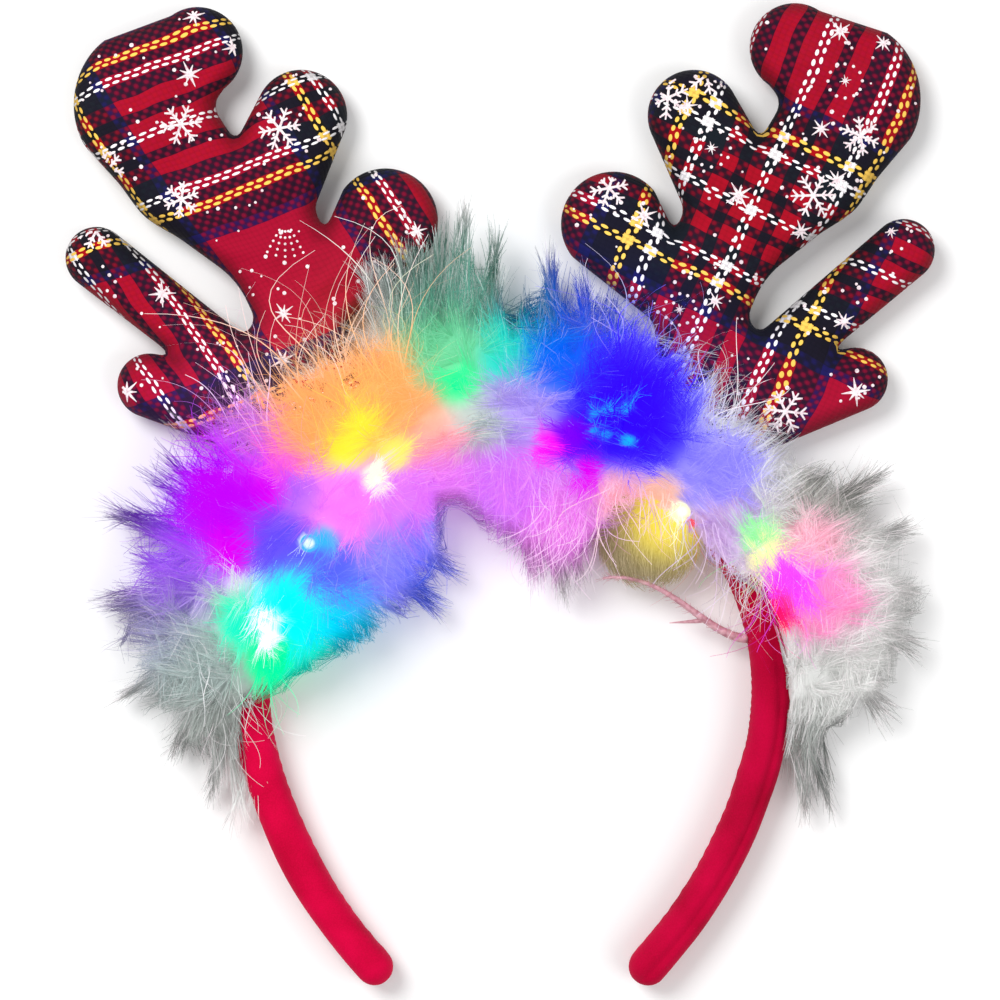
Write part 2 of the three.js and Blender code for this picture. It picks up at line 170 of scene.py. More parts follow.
def band_sleeve():
    """Sleeve as rings along the hoop, with a dome of shrinking rings at each end."""
    first, last = -LEG_END, 180 + LEG_END
    dome = BAND_THICK / 2
    turns = np.radians(DOME_TURNS)
    stations = np.linspace(first, last, BAND_STATIONS)
    degrees = np.concatenate([0 * turns + first, stations, 0 * turns + last])[:, None]
    along = np.concatenate([-dome * np.sin(turns), 0 * stations, dome * np.sin(turns[::-1])])[:, None]
    share = np.concatenate([np.cos(turns), 0 * stations + 1, np.cos(turns[::-1])])[:, None]
    side = np.linspace(0, 2 * np.pi, BAND_SIDES, endpoint=False)[None, :]
    out = bulge(np.cos(side)) * BAND_THICK / 2
    rise = bulge(np.sin(side)) * (BAND_DEPTH + BAND_SINK) / 2
    x, y = hoop_point(degrees, out * share, along)
    spots = np.stack([x, y, rise + 0 * x], -1).reshape(-1, 3)
    lift = layered_noise(spots, PADDING_LUMPS, 3).reshape(x.shape) * BAND_PADDING
    # fine cross wrinkles where the sleeve bunches on the inside of the bend
    ripple = np.sin(degrees * WRINKLE_WAVE + 2 * np.sin(degrees * WRINKLE_DRIFT))
    lift = lift + ripple * np.clip(-np.cos(side), 0, 1) ** 2 * BAND_WRINKLE
    # lengthwise crease on the front of the right leg, with a soft lip on its inner side
    leg = np.clip((CREASE_START - degrees) / (CREASE_START - CREASE_FULL), 0, 1)
    middle = CREASE_SIDE + CREASE_WANDER * np.sin(degrees * CREASE_DRIFT)
    fold = np.exp(-((side - middle) / CREASE_WIDTH) ** 2)
    lip = np.exp(-((side - LIP_SIDE) / LIP_WIDTH) ** 2)
    lift = (lift + leg * (LIP_SHARE * lip - fold) * CREASE_DEPTH) * share
    x, y = hoop_point(degrees, (out + lift * np.cos(side)) * share, along)
    z = np.maximum((BAND_DEPTH - BAND_SINK) / 2 + (rise + lift * np.sin(side)) * share, 0)
    return ringed_body("band_sleeve", np.stack([x, y, z], -1))


class Value:
    """A value in a material. Plain arithmetic on it adds the Math nodes that work it out."""

    def __init__(self, finish, socket):
        self.finish = finish
        self.socket = socket

    def math(self, operation, *others):
        return self.finish.math(operation, self, *others)

    def other(self, output):
        """Another output of the node that gives this value."""
        return Value(self.finish, self.socket.node.outputs[output])

    def __add__(self, other):
        return self.math("ADD", other)

    def __sub__(self, other):
        return self.math("SUBTRACT", other)

    def __rsub__(self, other):
        return self.finish.math("SUBTRACT", other, self)

    def __mul__(self, other):
        return self.math("MULTIPLY", other)

    def __truediv__(self, other):
        return self.math("DIVIDE", other)

    def __lt__(self, other):
        return self.math("LESS_THAN", other)

    def __gt__(self, other):
        return self.math("GREATER_THAN", other)


class Finish:
    """A material in the making: its surface shader, and short calls that add nodes to it."""

    def __init__(self, name):
        self.material = bpy.data.materials.new(name)
        self.material.use_nodes = True
        self.tree = self.material.node_tree

    def feed(self, socket, term):
        """Link a value to a socket, or set a plain number or colour on the socket itself."""
        if isinstance(term, Value):
            self.tree.links.new(term.socket, socket)
        else:
            socket.default_value = term

    def add(self, kind, output, inputs=None, **settings):
        """New shader node with its properties set and its inputs fed; gives one of its outputs."""
        node = self.tree.nodes.new("ShaderNode" + kind)
        for name, setting in settings.items():
            setattr(node, name, setting)
        for key, term in (inputs or {}).items():
            self.feed(node.inputs[key], term)
        return Value(self, node.outputs[output])

    def math(self, operation, *terms):
        return self.add("Math", 0, dict(enumerate(terms)), operation=operation)

    def scaled(self, colour, share):
        return self.add("VectorMath", "Vector", {0: colour, "Scale": share}, operation="SCALE")

    def spot(self):
        """Place on the object, in metres."""
        return self.add("TexCoord", "Object")

    def layer(self, name, output):
        """What is painted on the mesh's points under this name."""
        return self.add("Attribute", output, attribute_name=name)

    def noise(self, place, scale, detail=2, roughness=0.5):
        inputs = {"Vector": place, "Scale": scale, "Detail": detail, "Roughness": roughness}
        return self.add("TexNoise", "Fac", inputs)

    def bump(self, height, strength, distance):
        return self.add("Bump", "Normal", {"Height": height, "Strength": strength, "Distance": distance})

    def ramp(self, value, stops, steps=False):
        """Colours along a value; stops are places with 0 to 255 colours and, if wanted, an alpha."""
        colour = self.add("ValToRGB", "Color", {"Fac": value})
        ramp = colour.socket.node.color_ramp
        ramp.interpolation = "CONSTANT" if steps else "LINEAR"
        marks = ramp.elements
        marks.remove(marks[1])
        for k, (place, shade, *alpha) in enumerate(stops):
            mark = marks[0] if k == 0 else marks.new(place)
            mark.position = place
            mark.color = (*linear(*shade), *(alpha or [1]))
        return colour

    def surface(self, inputs):
        """Feed the surface shader; gives the finished material."""
        skin = self.tree.nodes["Principled BSDF"]
        for name, term in inputs.items():
            self.feed(skin.inputs[name], term)
        return self.material


def napped_cloth():
    """Short red nap with lighter and darker patches, and painted shade that darkens it towards the right leg.
    """
    finish = Finish("red_napped_cloth")
    spot = finish.spot()
    patches = finish.noise(spot, scale=70)
    nap = finish.noise(spot, scale=2400, roughness=0.7)
    grain = finish.noise(spot, scale=700, detail=3, roughness=0.6)
    tone = nap * 0.35 + patches * 0.65
    dyed = finish.ramp(tone, [(0.3, (164, 0, 40)), (0.5, (192, 0, 54)), (0.72, (214, 2, 66))])
    # painted shade: the cloth's colour darkens steadily towards the right leg
    right_shade = finish.add("SeparateXYZ", "X", {0: spot}) * -2.4 + 0.98
    return finish.surface({
        "Base Color": finish.scaled(dyed, right_shade),
        "Roughness": nap * 0.2 + 0.7,
        "Normal": finish.bump(grain * 0.6 + nap, strength=0.35, distance=0.2 * MM),
        "Sheen Weight": 0.14,
        "Sheen Roughness": 0.4,
        "Sheen Tint": (1.0, 0.1, 0.3, 1),
        "Specular IOR Level": 0.06,
    })


sleeve = band_sleeve()
sleeve.data.materials.append(napped_cloth())
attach(sleeve, "root")
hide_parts("head_band")


# Stuffed antlers
# Two antlers cut from coarse red tartan, each a front and a back panel sewn together along the side and
# filled with soft stuffing. The cloth puckers at the seam, most of all in the notches between the tines.
ANTLER_AXIS = HOOP_X - 3.3 * MM
ANTLER_HALF = 7.4 * MM
ANTLER_SWELL = 12 * MM  # depth in from the seam where a panel has risen to its full height
ANTLER_MID = 6.6 * MM  # height of the seam
NOTCH_BLEND = 3 * MM
FOOT_CLEAR = CROWN_RADIUS + BAND_THICK / 2 + 0.8 * MM
LEAN_PIVOT = np.array([50, 100]) * MM
PATTERN_LOW, PATTERN_HIGH = np.array([8, 40]) * MM, np.array([120, 185]) * MM
SEAM_GRID = 0.6 * MM
SEAM_STEP = 0.8 * MM
SEAM_ROUNDS = 3
PANEL_STEP = 1.1 * MM
PANEL_GAP = 0.55 * PANEL_STEP  # from the last row along the seam to the filling
WELD = 1e-7
SEAM_ROWS = np.array([0, 0.1, 0.3, 0.62, 1.05, 1.6, 2.3, 3.1]) * MM
SEAM_SHADE, SEAM_DARK = 5 * MM, 0.5  # width of the shade along the seam, and its tone there
SLOPE_STEP = 0.05 * MM
UNROLL_STEPS = 400
SLIM_SHARE, DEEP_SHARE = 0.9, 0.1  # height of a slim tine, and what a full part adds to it
FULL_DEPTH = 17 * MM
CLOTH_LUMPS = (24 * MM, 0.55), (10 * MM, 0.22)  # size, and height in mm
LUMPS_FROM = 2.2 * MM
PUCKER_HEIGHT = 0.55  # mm
PUCKER_SIZE, PUCKER_FADE = 3.6 * MM, 3.2 * MM
FACES_APART = 50 * MM  # keeps the lumps of the two panels different
TINY = 1e-12

# the slack bag that the stuffing blows up: its height as a share, its mesh, and the cloth's settings
BAG_SLACK = 0.88
BAG_VOXEL = 4 * MM
BAG_FRAMES = 20
BAG_MOVE = 1.6 * MM  # the most that a point may move
BAG_GRID = 1.5 * MM
BAG_EDGE = 1.001  # keeps the far corner of a cell inside the grid
BAG_BLEND = 2.5 * MM, 7 * MM  # depths between which a panel takes up the form of the bag
BAG_CLOTH = {
    "vertex_group_mass": "seam",
    "mass": 0.002,
    "tension_stiffness": 5,
    "compression_stiffness": 5,
    "shear_stiffness": 2,
    "bending_stiffness": 0.05,
    "shrink_min": -0.06,
    "use_pressure": True,
    "uniform_pressure_force": 4,
}
RAY_START = 100 * MM

# root and tip of each tine: outwards from the pair's middle, up from the hoop's centre, radius, in mm
TINES = {
    "crown": ((91, 153, 16.6), (77, 163.4, 11.5)),
    "upper beam": ((91.5, 148.5, 17.2), (80.5, 132.5, 14.5)),
    "beam": ((80.5, 132.5, 14.5), (57, 113, 12.5)),
    "stem": ((57, 113, 12.5), (49.5, 92, 10.5)),
    "foot": ((52, 83, 15), (44, 63, 13)),
    "upper tine": ((61, 124, 13.2), (50.5, 147, 11.8)),
    "lower tine": ((46, 97, 7), (28.9, 120, 13.5)),
    "side tine": ((62, 78.5, 7.5), (103, 110.5, 8)),
    "brow tine": ((58, 67.5, 9.5), (89.5, 77.8, 8.2)),
}


def ease(value, low, high):
    """Smooth step from 0 at low to 1 at high."""
    part = np.clip((value - low) / (high - low), 0, 1)
    return part * part * (3 - 2 * part)


def mesh_points(obj):
    """Places of an object's points, as rows."""
    spots = np.empty(len(obj.data.vertices) * 3)
    obj.data.vertices.foreach_get("co", spots)
    return spots.reshape(-1, 3)


def lay_map(obj, name, uv):
    """Give an object a map, from a place in the map for each of its points."""
    corner = np.empty(len(obj.data.loops), np.int32)
    obj.data.loops.foreach_get("vertex_index", corner)
    obj.data.uv_layers.new(name=name).data.foreach_set("uv", uv[corner].astype(np.float32).ravel())


def fillet(first, second):
    """Rounding where two outlines meet, from the distances to them."""
    near = np.maximum(NOTCH_BLEND - np.abs(first - second), 0) / NOTCH_BLEND
    return near * near * NOTCH_BLEND / 4


def evaluated(obj):
    """The object with its modifiers worked out."""
    return obj.evaluated_get(bpy.context.evaluated_depsgraph_get())


class Antler:
    """One antler: its side of the middle, its lean inwards and its set outwards."""

    def __init__(self, side, lean, shift, seed):
        self.side = side
        self.lean = math.radians(lean)
        self.shift = shift
        self.seed = seed
        self.filled = {}

    def place(self, pattern):
        """Pattern points, outwards and up, laid out in the headband's frame."""
        u, v = (pattern - LEAN_PIVOT).T
        across = LEAN_PIVOT[0] + u * math.cos(self.lean) - v * math.sin(self.lean) + self.shift
        up = LEAN_PIVOT[1] + u * math.sin(self.lean) + v * math.cos(self.lean)
        return np.stack([ANTLER_AXIS + self.side * across, HOOP_Y + up], -1)

    def pattern(self, spots):
        """The pattern points of places in the headband's frame."""
        across = (spots[:, 0] - ANTLER_AXIS) * self.side - self.shift - LEAN_PIVOT[0]
        up = spots[:, 1] - HOOP_Y - LEAN_PIVOT[1]
        u = across * math.cos(self.lean) + up * math.sin(self.lean)
        v = up * math.cos(self.lean) - across * math.sin(self.lean)
        return np.stack([u, v], -1) + LEAN_PIVOT

    def distance(self, pattern):
        """Distance outside the seam line: below nought inside the antler."""
        u, v = pattern[:, 0], pattern[:, 1]
        result = np.full(len(pattern), 1.0)
        for root, tip in TINES.values():
            (u0, v0, r0), (u1, v1, r1) = np.array(root) * MM, np.array(tip) * MM
            du, dv = u1 - u0, v1 - v0
            t = np.clip(((u - u0) * du + (v - v0) * dv) / (du * du + dv * dv), 0, 1)
            tine = np.hypot(u - u0 - t * du, v - v0 - t * dv) - (r0 + t * (r1 - r0))
            result = np.minimum(result, tine) - fillet(result, tine)
        spot = self.place(pattern)
        band = FOOT_CLEAR - np.hypot(spot[:, 0] - HOOP_X, spot[:, 1] - HOOP_Y)
        return np.maximum(result, band) + fillet(result, band)

    def inward(self, pattern):
        """Direction away from the seam, across the panel."""
        du = self.distance(pattern + [SLOPE_STEP, 0]) - self.distance(pattern - [SLOPE_STEP, 0])
        dv = self.distance(pattern + [0, SLOPE_STEP]) - self.distance(pattern - [0, SLOPE_STEP])
        length = np.maximum(np.hypot(du, dv), TINY)
        return -np.stack([du / length, dv / length], -1)

    def half(self, pattern, face):
        """How far the stuffing lifts the front (1) or back (-1) panel from the seam's height."""
        depth = np.maximum(-self.distance(pattern), 0)
        slope = 1 - np.minimum(depth / ANTLER_SWELL, 1)
        plump = SLIM_SHARE + DEEP_SHARE * np.minimum(depth / FULL_DEPTH, 1)
        lift = ANTLER_HALF * np.sqrt(1 - slope * slope) * plump
        spots = np.column_stack([pattern, np.full(len(pattern), face * FACES_APART)])
        lumps = layered_noise(spots, CLOTH_LUMPS, self.seed)
        puckers = PUCKER_HEIGHT * soft_noise(spots, PUCKER_SIZE, self.seed + 2) * np.exp(-depth / PUCKER_FADE)
        off_seam = np.minimum(depth / LUMPS_FROM, 1)
        lift = lift + lumps * MM * off_seam
        if self.filled:
            lift = lift + (self.bag_lift(pattern, face) - lift) * ease(depth, *BAG_BLEND)
        return lift + puckers * MM * off_seam

    def bag_lift(self, pattern, face):
        """Lift of a panel in the filled bag, read between the places of its grid."""
        lifts = self.filled[face]
        cells = np.clip((pattern - PATTERN_LOW) / BAG_GRID, 0, np.array(lifts.shape) - BAG_EDGE)
        i, j = cells.astype(int).T
        a, b = (cells - np.floor(cells)).T
        low = lifts[i, j] * (1 - b) + lifts[i, j + 1] * b
        high = lifts[i + 1, j] * (1 - b) + lifts[i + 1, j + 1] * b
        return low * (1 - a) + high * a

    def slack_bag(self):
        """The sewn bag before it is filled, low and evenly meshed."""
        slack = self.sew("slack_bag")
        points = mesh_points(slack)
        points[:, 2] = ANTLER_MID + (points[:, 2] - ANTLER_MID) * BAG_SLACK
        slack.data.vertices.foreach_set("co", points.ravel())
        even = slack.modifiers.new("even", "REMESH")
        even.mode = "VOXEL"
        even.voxel_size = BAG_VOXEL
        bag = bpy.data.objects.new("filled_bag", bpy.data.meshes.new_from_object(evaluated(slack)))
        bpy.context.scene.collection.objects.link(bag)
        bpy.data.objects.remove(slack)
        return bag

    def fill(self):
        """Cloth simulation of the slack bag blown up by its stuffing, with its seam held."""
        bag = self.slack_bag()
        start = mesh_points(bag)
        held = np.flatnonzero(self.distance(self.pattern(start[:, :2])) > -BAG_VOXEL / 2)
        bag.vertex_groups.new(name="seam").add(held.tolist(), 1.0, "REPLACE")
        cloth = bag.modifiers.new("filled", "CLOTH")
        for name, setting in BAG_CLOTH.items():
            setattr(cloth.settings, name, setting)
        cloth.settings.effector_weights.gravity = 0
        for number in range(1, BAG_FRAMES + 1):
            bpy.context.scene.frame_set(number)
        moved = mesh_points(evaluated(bag)) - start
        far = np.linalg.norm(moved, axis=1, keepdims=True)
        moved = moved * np.minimum(1, BAG_MOVE / np.maximum(far, TINY))
        bag.modifiers.remove(cloth)
        bpy.context.scene.frame_set(1)
        bag.data.vertices.foreach_set("co", (start + moved).ravel())
        bag.modifiers.new("smooth", "SUBSURF").levels = 1
        bag.data.update()
        self.read_lifts(evaluated(bag))
        bpy.data.objects.remove(bag)

    def read_lifts(self, bag):
        """Keep the lift of the filled bag's front and back panels, over an even grid."""
        corners = [polygon.vertices[:] for polygon in bag.data.polygons]
        tree = BVHTree.FromPolygons(mesh_points(bag).tolist(), corners)
        grid = self.grid(BAG_GRID)
        places = self.place(grid.reshape(-1, 2))
        for face in (1, -1):
            lifts = []
            for x, y in places:
                hit = tree.ray_cast((x, y, ANTLER_MID + face * RAY_START), (0, 0, -face))[0]
                lifts.append(0 if hit is None else max((hit.z - ANTLER_MID) * face, 0))
            self.filled[face] = np.array(lifts).reshape(grid.shape[:2])

    def front(self, pattern):
        """Height of the front panel."""
        return ANTLER_MID + self.half(pattern, 1)

    def grid(self, step):
        """Even rows of pattern points over the whole antler."""
        us = np.arange(PATTERN_LOW[0], PATTERN_HIGH[0], step)
        vs = np.arange(PATTERN_LOW[1], PATTERN_HIGH[1], step)
        return np.stack(np.meshgrid(us, vs, indexing="ij"), -1)

    def seam(self):
        """Seam line of the panels as an even closed row of pattern points."""
        grid = self.grid(SEAM_GRID)
        value = self.distance(grid.reshape(-1, 2)).reshape(grid.shape[:2])
        inside = value < 0
        corners_in = inside[:-1, :-1].astype(int) + inside[1:, :-1] + inside[1:, 1:] + inside[:-1, 1:]
        links, spots = {}, {}
        for i, j in np.argwhere((corners_in > 0) & (corners_in < 4)):
            corners = [(i, j), (i + 1, j), (i + 1, j + 1), (i, j + 1)]
            cuts = []
            for a, b in zip(corners, corners[1:] + corners[:1]):
                if inside[a] != inside[b]:
                    key = (min(a, b), max(a, b))
                    spots[key] = grid[a] + (grid[b] - grid[a]) * value[a] / (value[a] - value[b])
                    cuts.append(key)
            for a, b in zip(cuts[::2], cuts[1::2]):
                links.setdefault(a, []).append(b)
                links.setdefault(b, []).append(a)
        longest = []
        left = dict.fromkeys(links)
        while left:
            walk = [next(iter(left))]
            while walk[-1] is not None:
                left.pop(walk[-1])
                walk.append(next((key for key in links[walk[-1]] if key in left), None))
            longest = max(longest, walk[:-1], key=len)
        line = np.array([spots[key] for key in longest + longest[:1]])
        run = np.concatenate([[0], np.cumsum(np.hypot(*np.diff(line, axis=0).T))])
        marks = np.linspace(0, run[-1], int(run[-1] / SEAM_STEP), endpoint=False)
        even = np.stack([np.interp(marks, run, line[:, 0]), np.interp(marks, run, line[:, 1])], -1)
        for _ in range(SEAM_ROUNDS):
            even = even + self.inward(even) * self.distance(even)[:, None]
        return even

    def panel(self):
        """Pattern points and faces of one panel: rows that follow the seam, then an even filling."""
        seam = self.seam()
        count = len(seam)
        rows = np.concatenate([seam + self.inward(seam) * depth for depth in SEAM_ROWS])
        filling = self.grid(PANEL_STEP).reshape(-1, 2)
        filling = filling[self.distance(filling) < -SEAM_ROWS[-1] - PANEL_GAP]
        flat = [Vector(point) for point in np.vstack([rows[-count:], filling])]
        edges = [(i, (i + 1) % count) for i in range(count)]
        filled, _, triangles, sources = delaunay_2d_cdt(flat, edges, [], 1, WELD)[:4]
        first = len(rows) - count
        number, extra = [], []
        for point, source in zip(filled, sources):
            if source and source[0] < count:
                number.append(first + source[0])
            else:
                number.append(len(rows) + len(extra))
                extra.append(tuple(point))
        faces = [(r + i, r + (i + 1) % count, r + count + (i + 1) % count, r + count + i)
                 for r in range(0, first, count) for i in range(count)]
        faces += [tuple(number[k] for k in triangle) for triangle in triangles]
        return np.vstack([rows, extra]), faces, count

    def unrolled(self, pattern):
        """Where each point lay in the flat cloth, in mm: the sides unroll outwards from the seam."""
        depth = np.maximum(-self.distance(pattern), 0)
        marks = np.linspace(0, ANTLER_SWELL, UNROLL_STEPS)
        rise = ANTLER_HALF * np.sqrt(1 - (1 - marks / ANTLER_SWELL) ** 2)
        run = np.concatenate([[0], np.cumsum(np.hypot(np.diff(marks), np.diff(rise)))])
        spare = (run[-1] - run) - (ANTLER_SWELL - marks)
        push = np.interp(depth, marks, spare)
        return self.place(pattern - self.inward(pattern) * push[:, None]) / MM

    def sew(self, name):
        """The two panels joined along the seam, with the flat cloth as a map."""
        pattern, faces, count = self.panel()
        spots = self.place(pattern)
        front = self.front(pattern)
        front[:count] = ANTLER_MID
        back = np.maximum(ANTLER_MID - self.half(pattern, -1), 0)
        points = np.vstack([np.column_stack([spots, front]), np.column_stack([spots, back])[count:]])
        behind = len(pattern) - count
        under = [tuple(k if k < count else k + behind for k in reversed(face)) for face in faces]
        pillow = mesh_object(name, points, faces + under, closed=True)
        cloth = self.unrolled(pattern)
        lay_map(pillow, "cloth", np.vstack([cloth, cloth[count:]]))
        # painted shade: the cloth is darker towards the seam; the material reads this as the seam layer
        shade = SEAM_DARK + (1 - SEAM_DARK) * ease(-self.distance(pattern), 0, SEAM_SHADE)
        shade = np.concatenate([shade, shade[count:]])
        layer = pillow.data.attributes.new("seam", "FLOAT", "POINT")
        layer.data.foreach_set("value", shade.astype(np.float32))
        return pillow


# yarn runs of half the check, from its white middle line to the middle of the broad red: yarns, colour,
# and how much of its lane a yarn fills
CHECK = [
    (1, (250, 244, 246), 0.6), (2, (166, 2, 30), 1), (2, (20, 17, 30), 1), (3, (172, 2, 32), 1),
    (3, (20, 26, 36), 1), (2, (252, 248, 250), 0.6), (2, (20, 17, 30), 1), (2, (254, 206, 92), 0.74),
    (4, (20, 16, 32), 1), (2, (26, 22, 90), 1), (12, (168, 1, 44), 1),
]
HALF_CHECK = sum(count for count, *_ in CHECK)
YARN_WANDER = 1.4  # yarns that the weave drifts off its line
THIN_FILL = 0.9  # a yarn that fills less of its lane than this is a thin one
YARN_WAVE, YARN_ROUND, THIN_LIFT = 0.5, 0.6, 0.9  # heights, in yarn widths
HIDDEN_DROP = 3
AROUND_POWER, DOT_POWERS = 0.5, (0.84, 0.16)  # of the upper and the lower yarn in a crossing's colour
DOT_FADE = -0.8
CLEAR_TINT = 0.8  # how far a thin yarn takes on the colour under it
SPILL_HAZE = 0.1  # what even a black yarn shows of the bulbs' light


def tartan_cloth(name, weft, warp, stitch, fine):
    """Plain weave of coarse yarns. weft and warp: direction across the yarns, pitch and white line, mm.
    stitch: half the length of a thin yarn's float, in yarns crossed; fine: how thin those yarns are."""
    finish = Finish(name)
    cloth = finish.add("UVMap", "UV", uv_map="cloth")
    wander = finish.noise(cloth, scale=0.09, detail=1)
    stops, start = [], 0
    for count, colour, fill in CHECK:
        stops.append((start / HALF_CHECK, colour, fill if fill == 1 else fill * fine))
        start += count

    def yarns(across, pitch, line):
        """Running count of the yarns, each one's number, colour, place across it, section and thinness."""
        way = across[0] / pitch, across[1] / pitch, 0
        place = finish.add("VectorMath", "Value", {0: cloth, 1: way}, operation="DOT_PRODUCT")
        count = wander * YARN_WANDER + place - (line / pitch + YARN_WANDER / 2)
        number = count.math("FLOOR")
        folded = (number + 0.5).math("PINGPONG", HALF_CHECK)
        colour = finish.ramp(folded / HALF_CHECK, stops, steps=True)
        fill = colour.other("Alpha")
        side = (count - number) * 2 - 1
        share = side / fill
        return count, number, colour, side, 1 - share * share, fill < THIN_FILL

    def height(crossing, number, section, thin, first):
        """Height of a yarn as it goes over and under those that cross it; a thin one lifts in ovals."""
        wave = (crossing * math.pi - math.pi / 2).math("COSINE")
        wave = wave * (number.math("FLOORED_MODULO", 2) * (-2 * first) + first)
        past = wave.math("ARCCOSINE") / (stitch * math.pi)
        section = section - past * past * thin
        round_top = section.math("MAXIMUM", 0).math("SQRT")
        ride = (wave * YARN_WAVE).math("MAXIMUM", thin * THIN_LIFT)
        return round_top * YARN_ROUND + ride - (section < 0) * HIDDEN_DROP

    def mixed(share, first, second, blend="MIX"):
        return finish.add("Mix", 2, {0: share, 6: first, 7: second}, data_type="RGBA", blend_type=blend)

    def deepened(colour, power):
        return finish.add("Gamma", "Color", {"Color": colour, "Gamma": power})

    weft_count, weft_number, weft_colour, weft_side, weft_section, weft_thin = yarns(*weft)
    warp_count, warp_number, warp_colour, warp_side, warp_section, warp_thin = yarns(*warp)
    weft_height = height(warp_count, weft_number, weft_section, weft_thin, 1)
    warp_height = height(weft_count, warp_number, warp_section, warp_thin, -1)
    top = weft_height.math("MAXIMUM", warp_height)
    over = weft_height > warp_height
    # thick dyed yarns darken each other round the dot where one lies on top, thin light ones stay clear
    upper = mixed(over, warp_colour, weft_colour)
    lower = mixed(over, weft_colour, warp_colour)
    around = mixed(1.0, deepened(upper, AROUND_POWER), deepened(lower, AROUND_POWER), "MULTIPLY")
    dot = mixed(1.0, deepened(upper, DOT_POWERS[0]), deepened(lower, DOT_POWERS[1]), "MULTIPLY")
    off_dot = weft_side * weft_side + warp_side * warp_side
    crossed = mixed((off_dot * DOT_FADE + 1).math("MAXIMUM", 0), around, dot)
    thin_on_top = over * (weft_thin - warp_thin) + warp_thin
    clear = mixed(thin_on_top, mixed(CLEAR_TINT, upper, lower, "MULTIPLY"), upper)
    colour = mixed(weft_thin.math("MAXIMUM", warp_thin), crossed, clear)
    fuzz = finish.noise(cloth, scale=5.5, detail=3, roughness=0.65)
    # painted shade: lower parts of the weave and the cloth near the seam are darker
    shade = top.math("MAXIMUM", 0) * 0.2 + 0.72
    shade = shade * (fuzz * 0.5 + 0.75) * finish.layer("seam", "Fac")
    dyed = finish.scaled(colour, shade)
    hazed = finish.add("VectorMath", "Vector", {0: dyed, 1: (SPILL_HAZE,) * 3}, operation="ADD")
    spill = finish.layer("spill", "Color")
    finish.material.cycles.emission_sampling = "NONE"
    return finish.surface({
        "Base Color": dyed,
        "Emission Color": finish.add("VectorMath", "Vector", {0: hazed, 1: spill}, operation="MULTIPLY"),
        "Emission Strength": 1.0,
        "Roughness": fuzz * 0.25 + 0.68,
        "Normal": finish.bump(fuzz * 0.25 + top, strength=0.4, distance=0.3 * MM),
        "Sheen Weight": 0.04,
        "Sheen Roughness": 0.5,
        "Specular IOR Level": 0.12,
    })


def yarn_rule(slope, pitch, x, y, yarns_past=0):
    """Rule for yarns at a slope in degrees, with their white line through a place, in mm from the hoop."""
    turn = math.radians(slope + 90)
    across = math.cos(turn), math.sin(turn)
    line = across[0] * (x + HOOP_X / MM) + across[1] * (y + HOOP_Y / MM)
    return across, pitch, line + yarns_past * pitch


# each antler, the rules of its weft and warp, and the stitch and fineness of its thin yarns
ANTLERS = {
    "antler_left": (Antler(-1, 0, 0, 11), yarn_rule(21, 1.34, -89.5, 142.3),
                    yarn_rule(-57, 1.33, -56.4, 109.6, HALF_CHECK), 0.72, 0.88),
    "antler_right": (Antler(1, 2.2, 1.5 * MM, 23), yarn_rule(-26, 1.29, 61, 122.5),
                     yarn_rule(66, 1.58, 61, 122.5), 0.63, 0.96),
}
pillows = []
for node, (antler, *weave) in ANTLERS.items():
    antler.fill()
    pillow = antler.sew(node + "_cloth")
    pillows.append(pillow)
    pillow.data.materials.append(tartan_cloth(node + "_tartan", *weave))
    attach(pillow, "root")
    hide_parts(node)


# Snow prints
# White snow stars, branched flakes, rings and fans of dots, and scattered dots, printed on the front
# panels in a thick white ink that stands a little proud of the weave.
INK_LIFT = 0.14 * MM
INK_THICK = 0.1 * MM
PRINT_MARGIN = 1.2 * MM
STAR_RADIUS, FLAKE_RADIUS, RING_RADIUS, DOT_RADIUS = 3.4, 4.8, 4.6, 0.42  # mm
STAR_WIDTHS = np.array([0.13, 0.21, 0.16, 0.1, 0.04])  # shares of the radius, from the middle out
STAR_SHORT = 0.72  # length of every second ray, as a share
FLAKE_ARM = 0.66, 0.62, 0.58, 0.54, 0.46, 0.36  # widths in mm, from the middle out
FLAKE_TWIG = 0.58, 0.54, 0.4
FLAKE_FORKS = (0.4, 0.26), (0.68, 0.36)  # place on the arm and length of its twigs, as shares
TWIG_TURN = 50
RING_STAR, RING_STAR_TURN = 0.36, 10
FAN_WAYS = range(-118, -60, 14)
FAN_REACHES = np.arange(3.2, 11, 1.6)
FAN_DOT = 0.8 * DOT_RADIUS
SCATTERED_DOTS = 400

# places of the prints, across and up from the hoop's centre in mm
PRINTS = {
    "antler_left": {
        "stars": [(-82, 157), (-71, 164), (-81, 172), (-89, 101), (-58, 96), (-58, 84), (-24, 117),
                  (-98, 76)],
        "flakes": [(-84, 144), (-59, 143), (-84, 125), (-106, 117), (-103, 133)],
        "rings": [],
        "fans": [(-57.5, 120)],
    },
    "antler_right": {
        "stars": [(84, 168), (95, 165), (79, 143), (83, 130), (45, 149), (34, 121), (84, 110), (88, 76),
                  (52, 99), (74, 117), (58, 126), (85, 94)],
        "flakes": [(89, 141), (77, 126), (50, 157), (25, 128), (40, 151), (70, 71)],
        "rings": [(85, 155), (51, 138), (97, 117), (43, 97)],
        "fans": [],
    },
}


def on_ray(start, way, run):
    """Place at a distance from a start, in a direction in degrees."""
    turn = math.radians(way)
    return start[0] + run * math.cos(turn), start[1] + run * math.sin(turn)


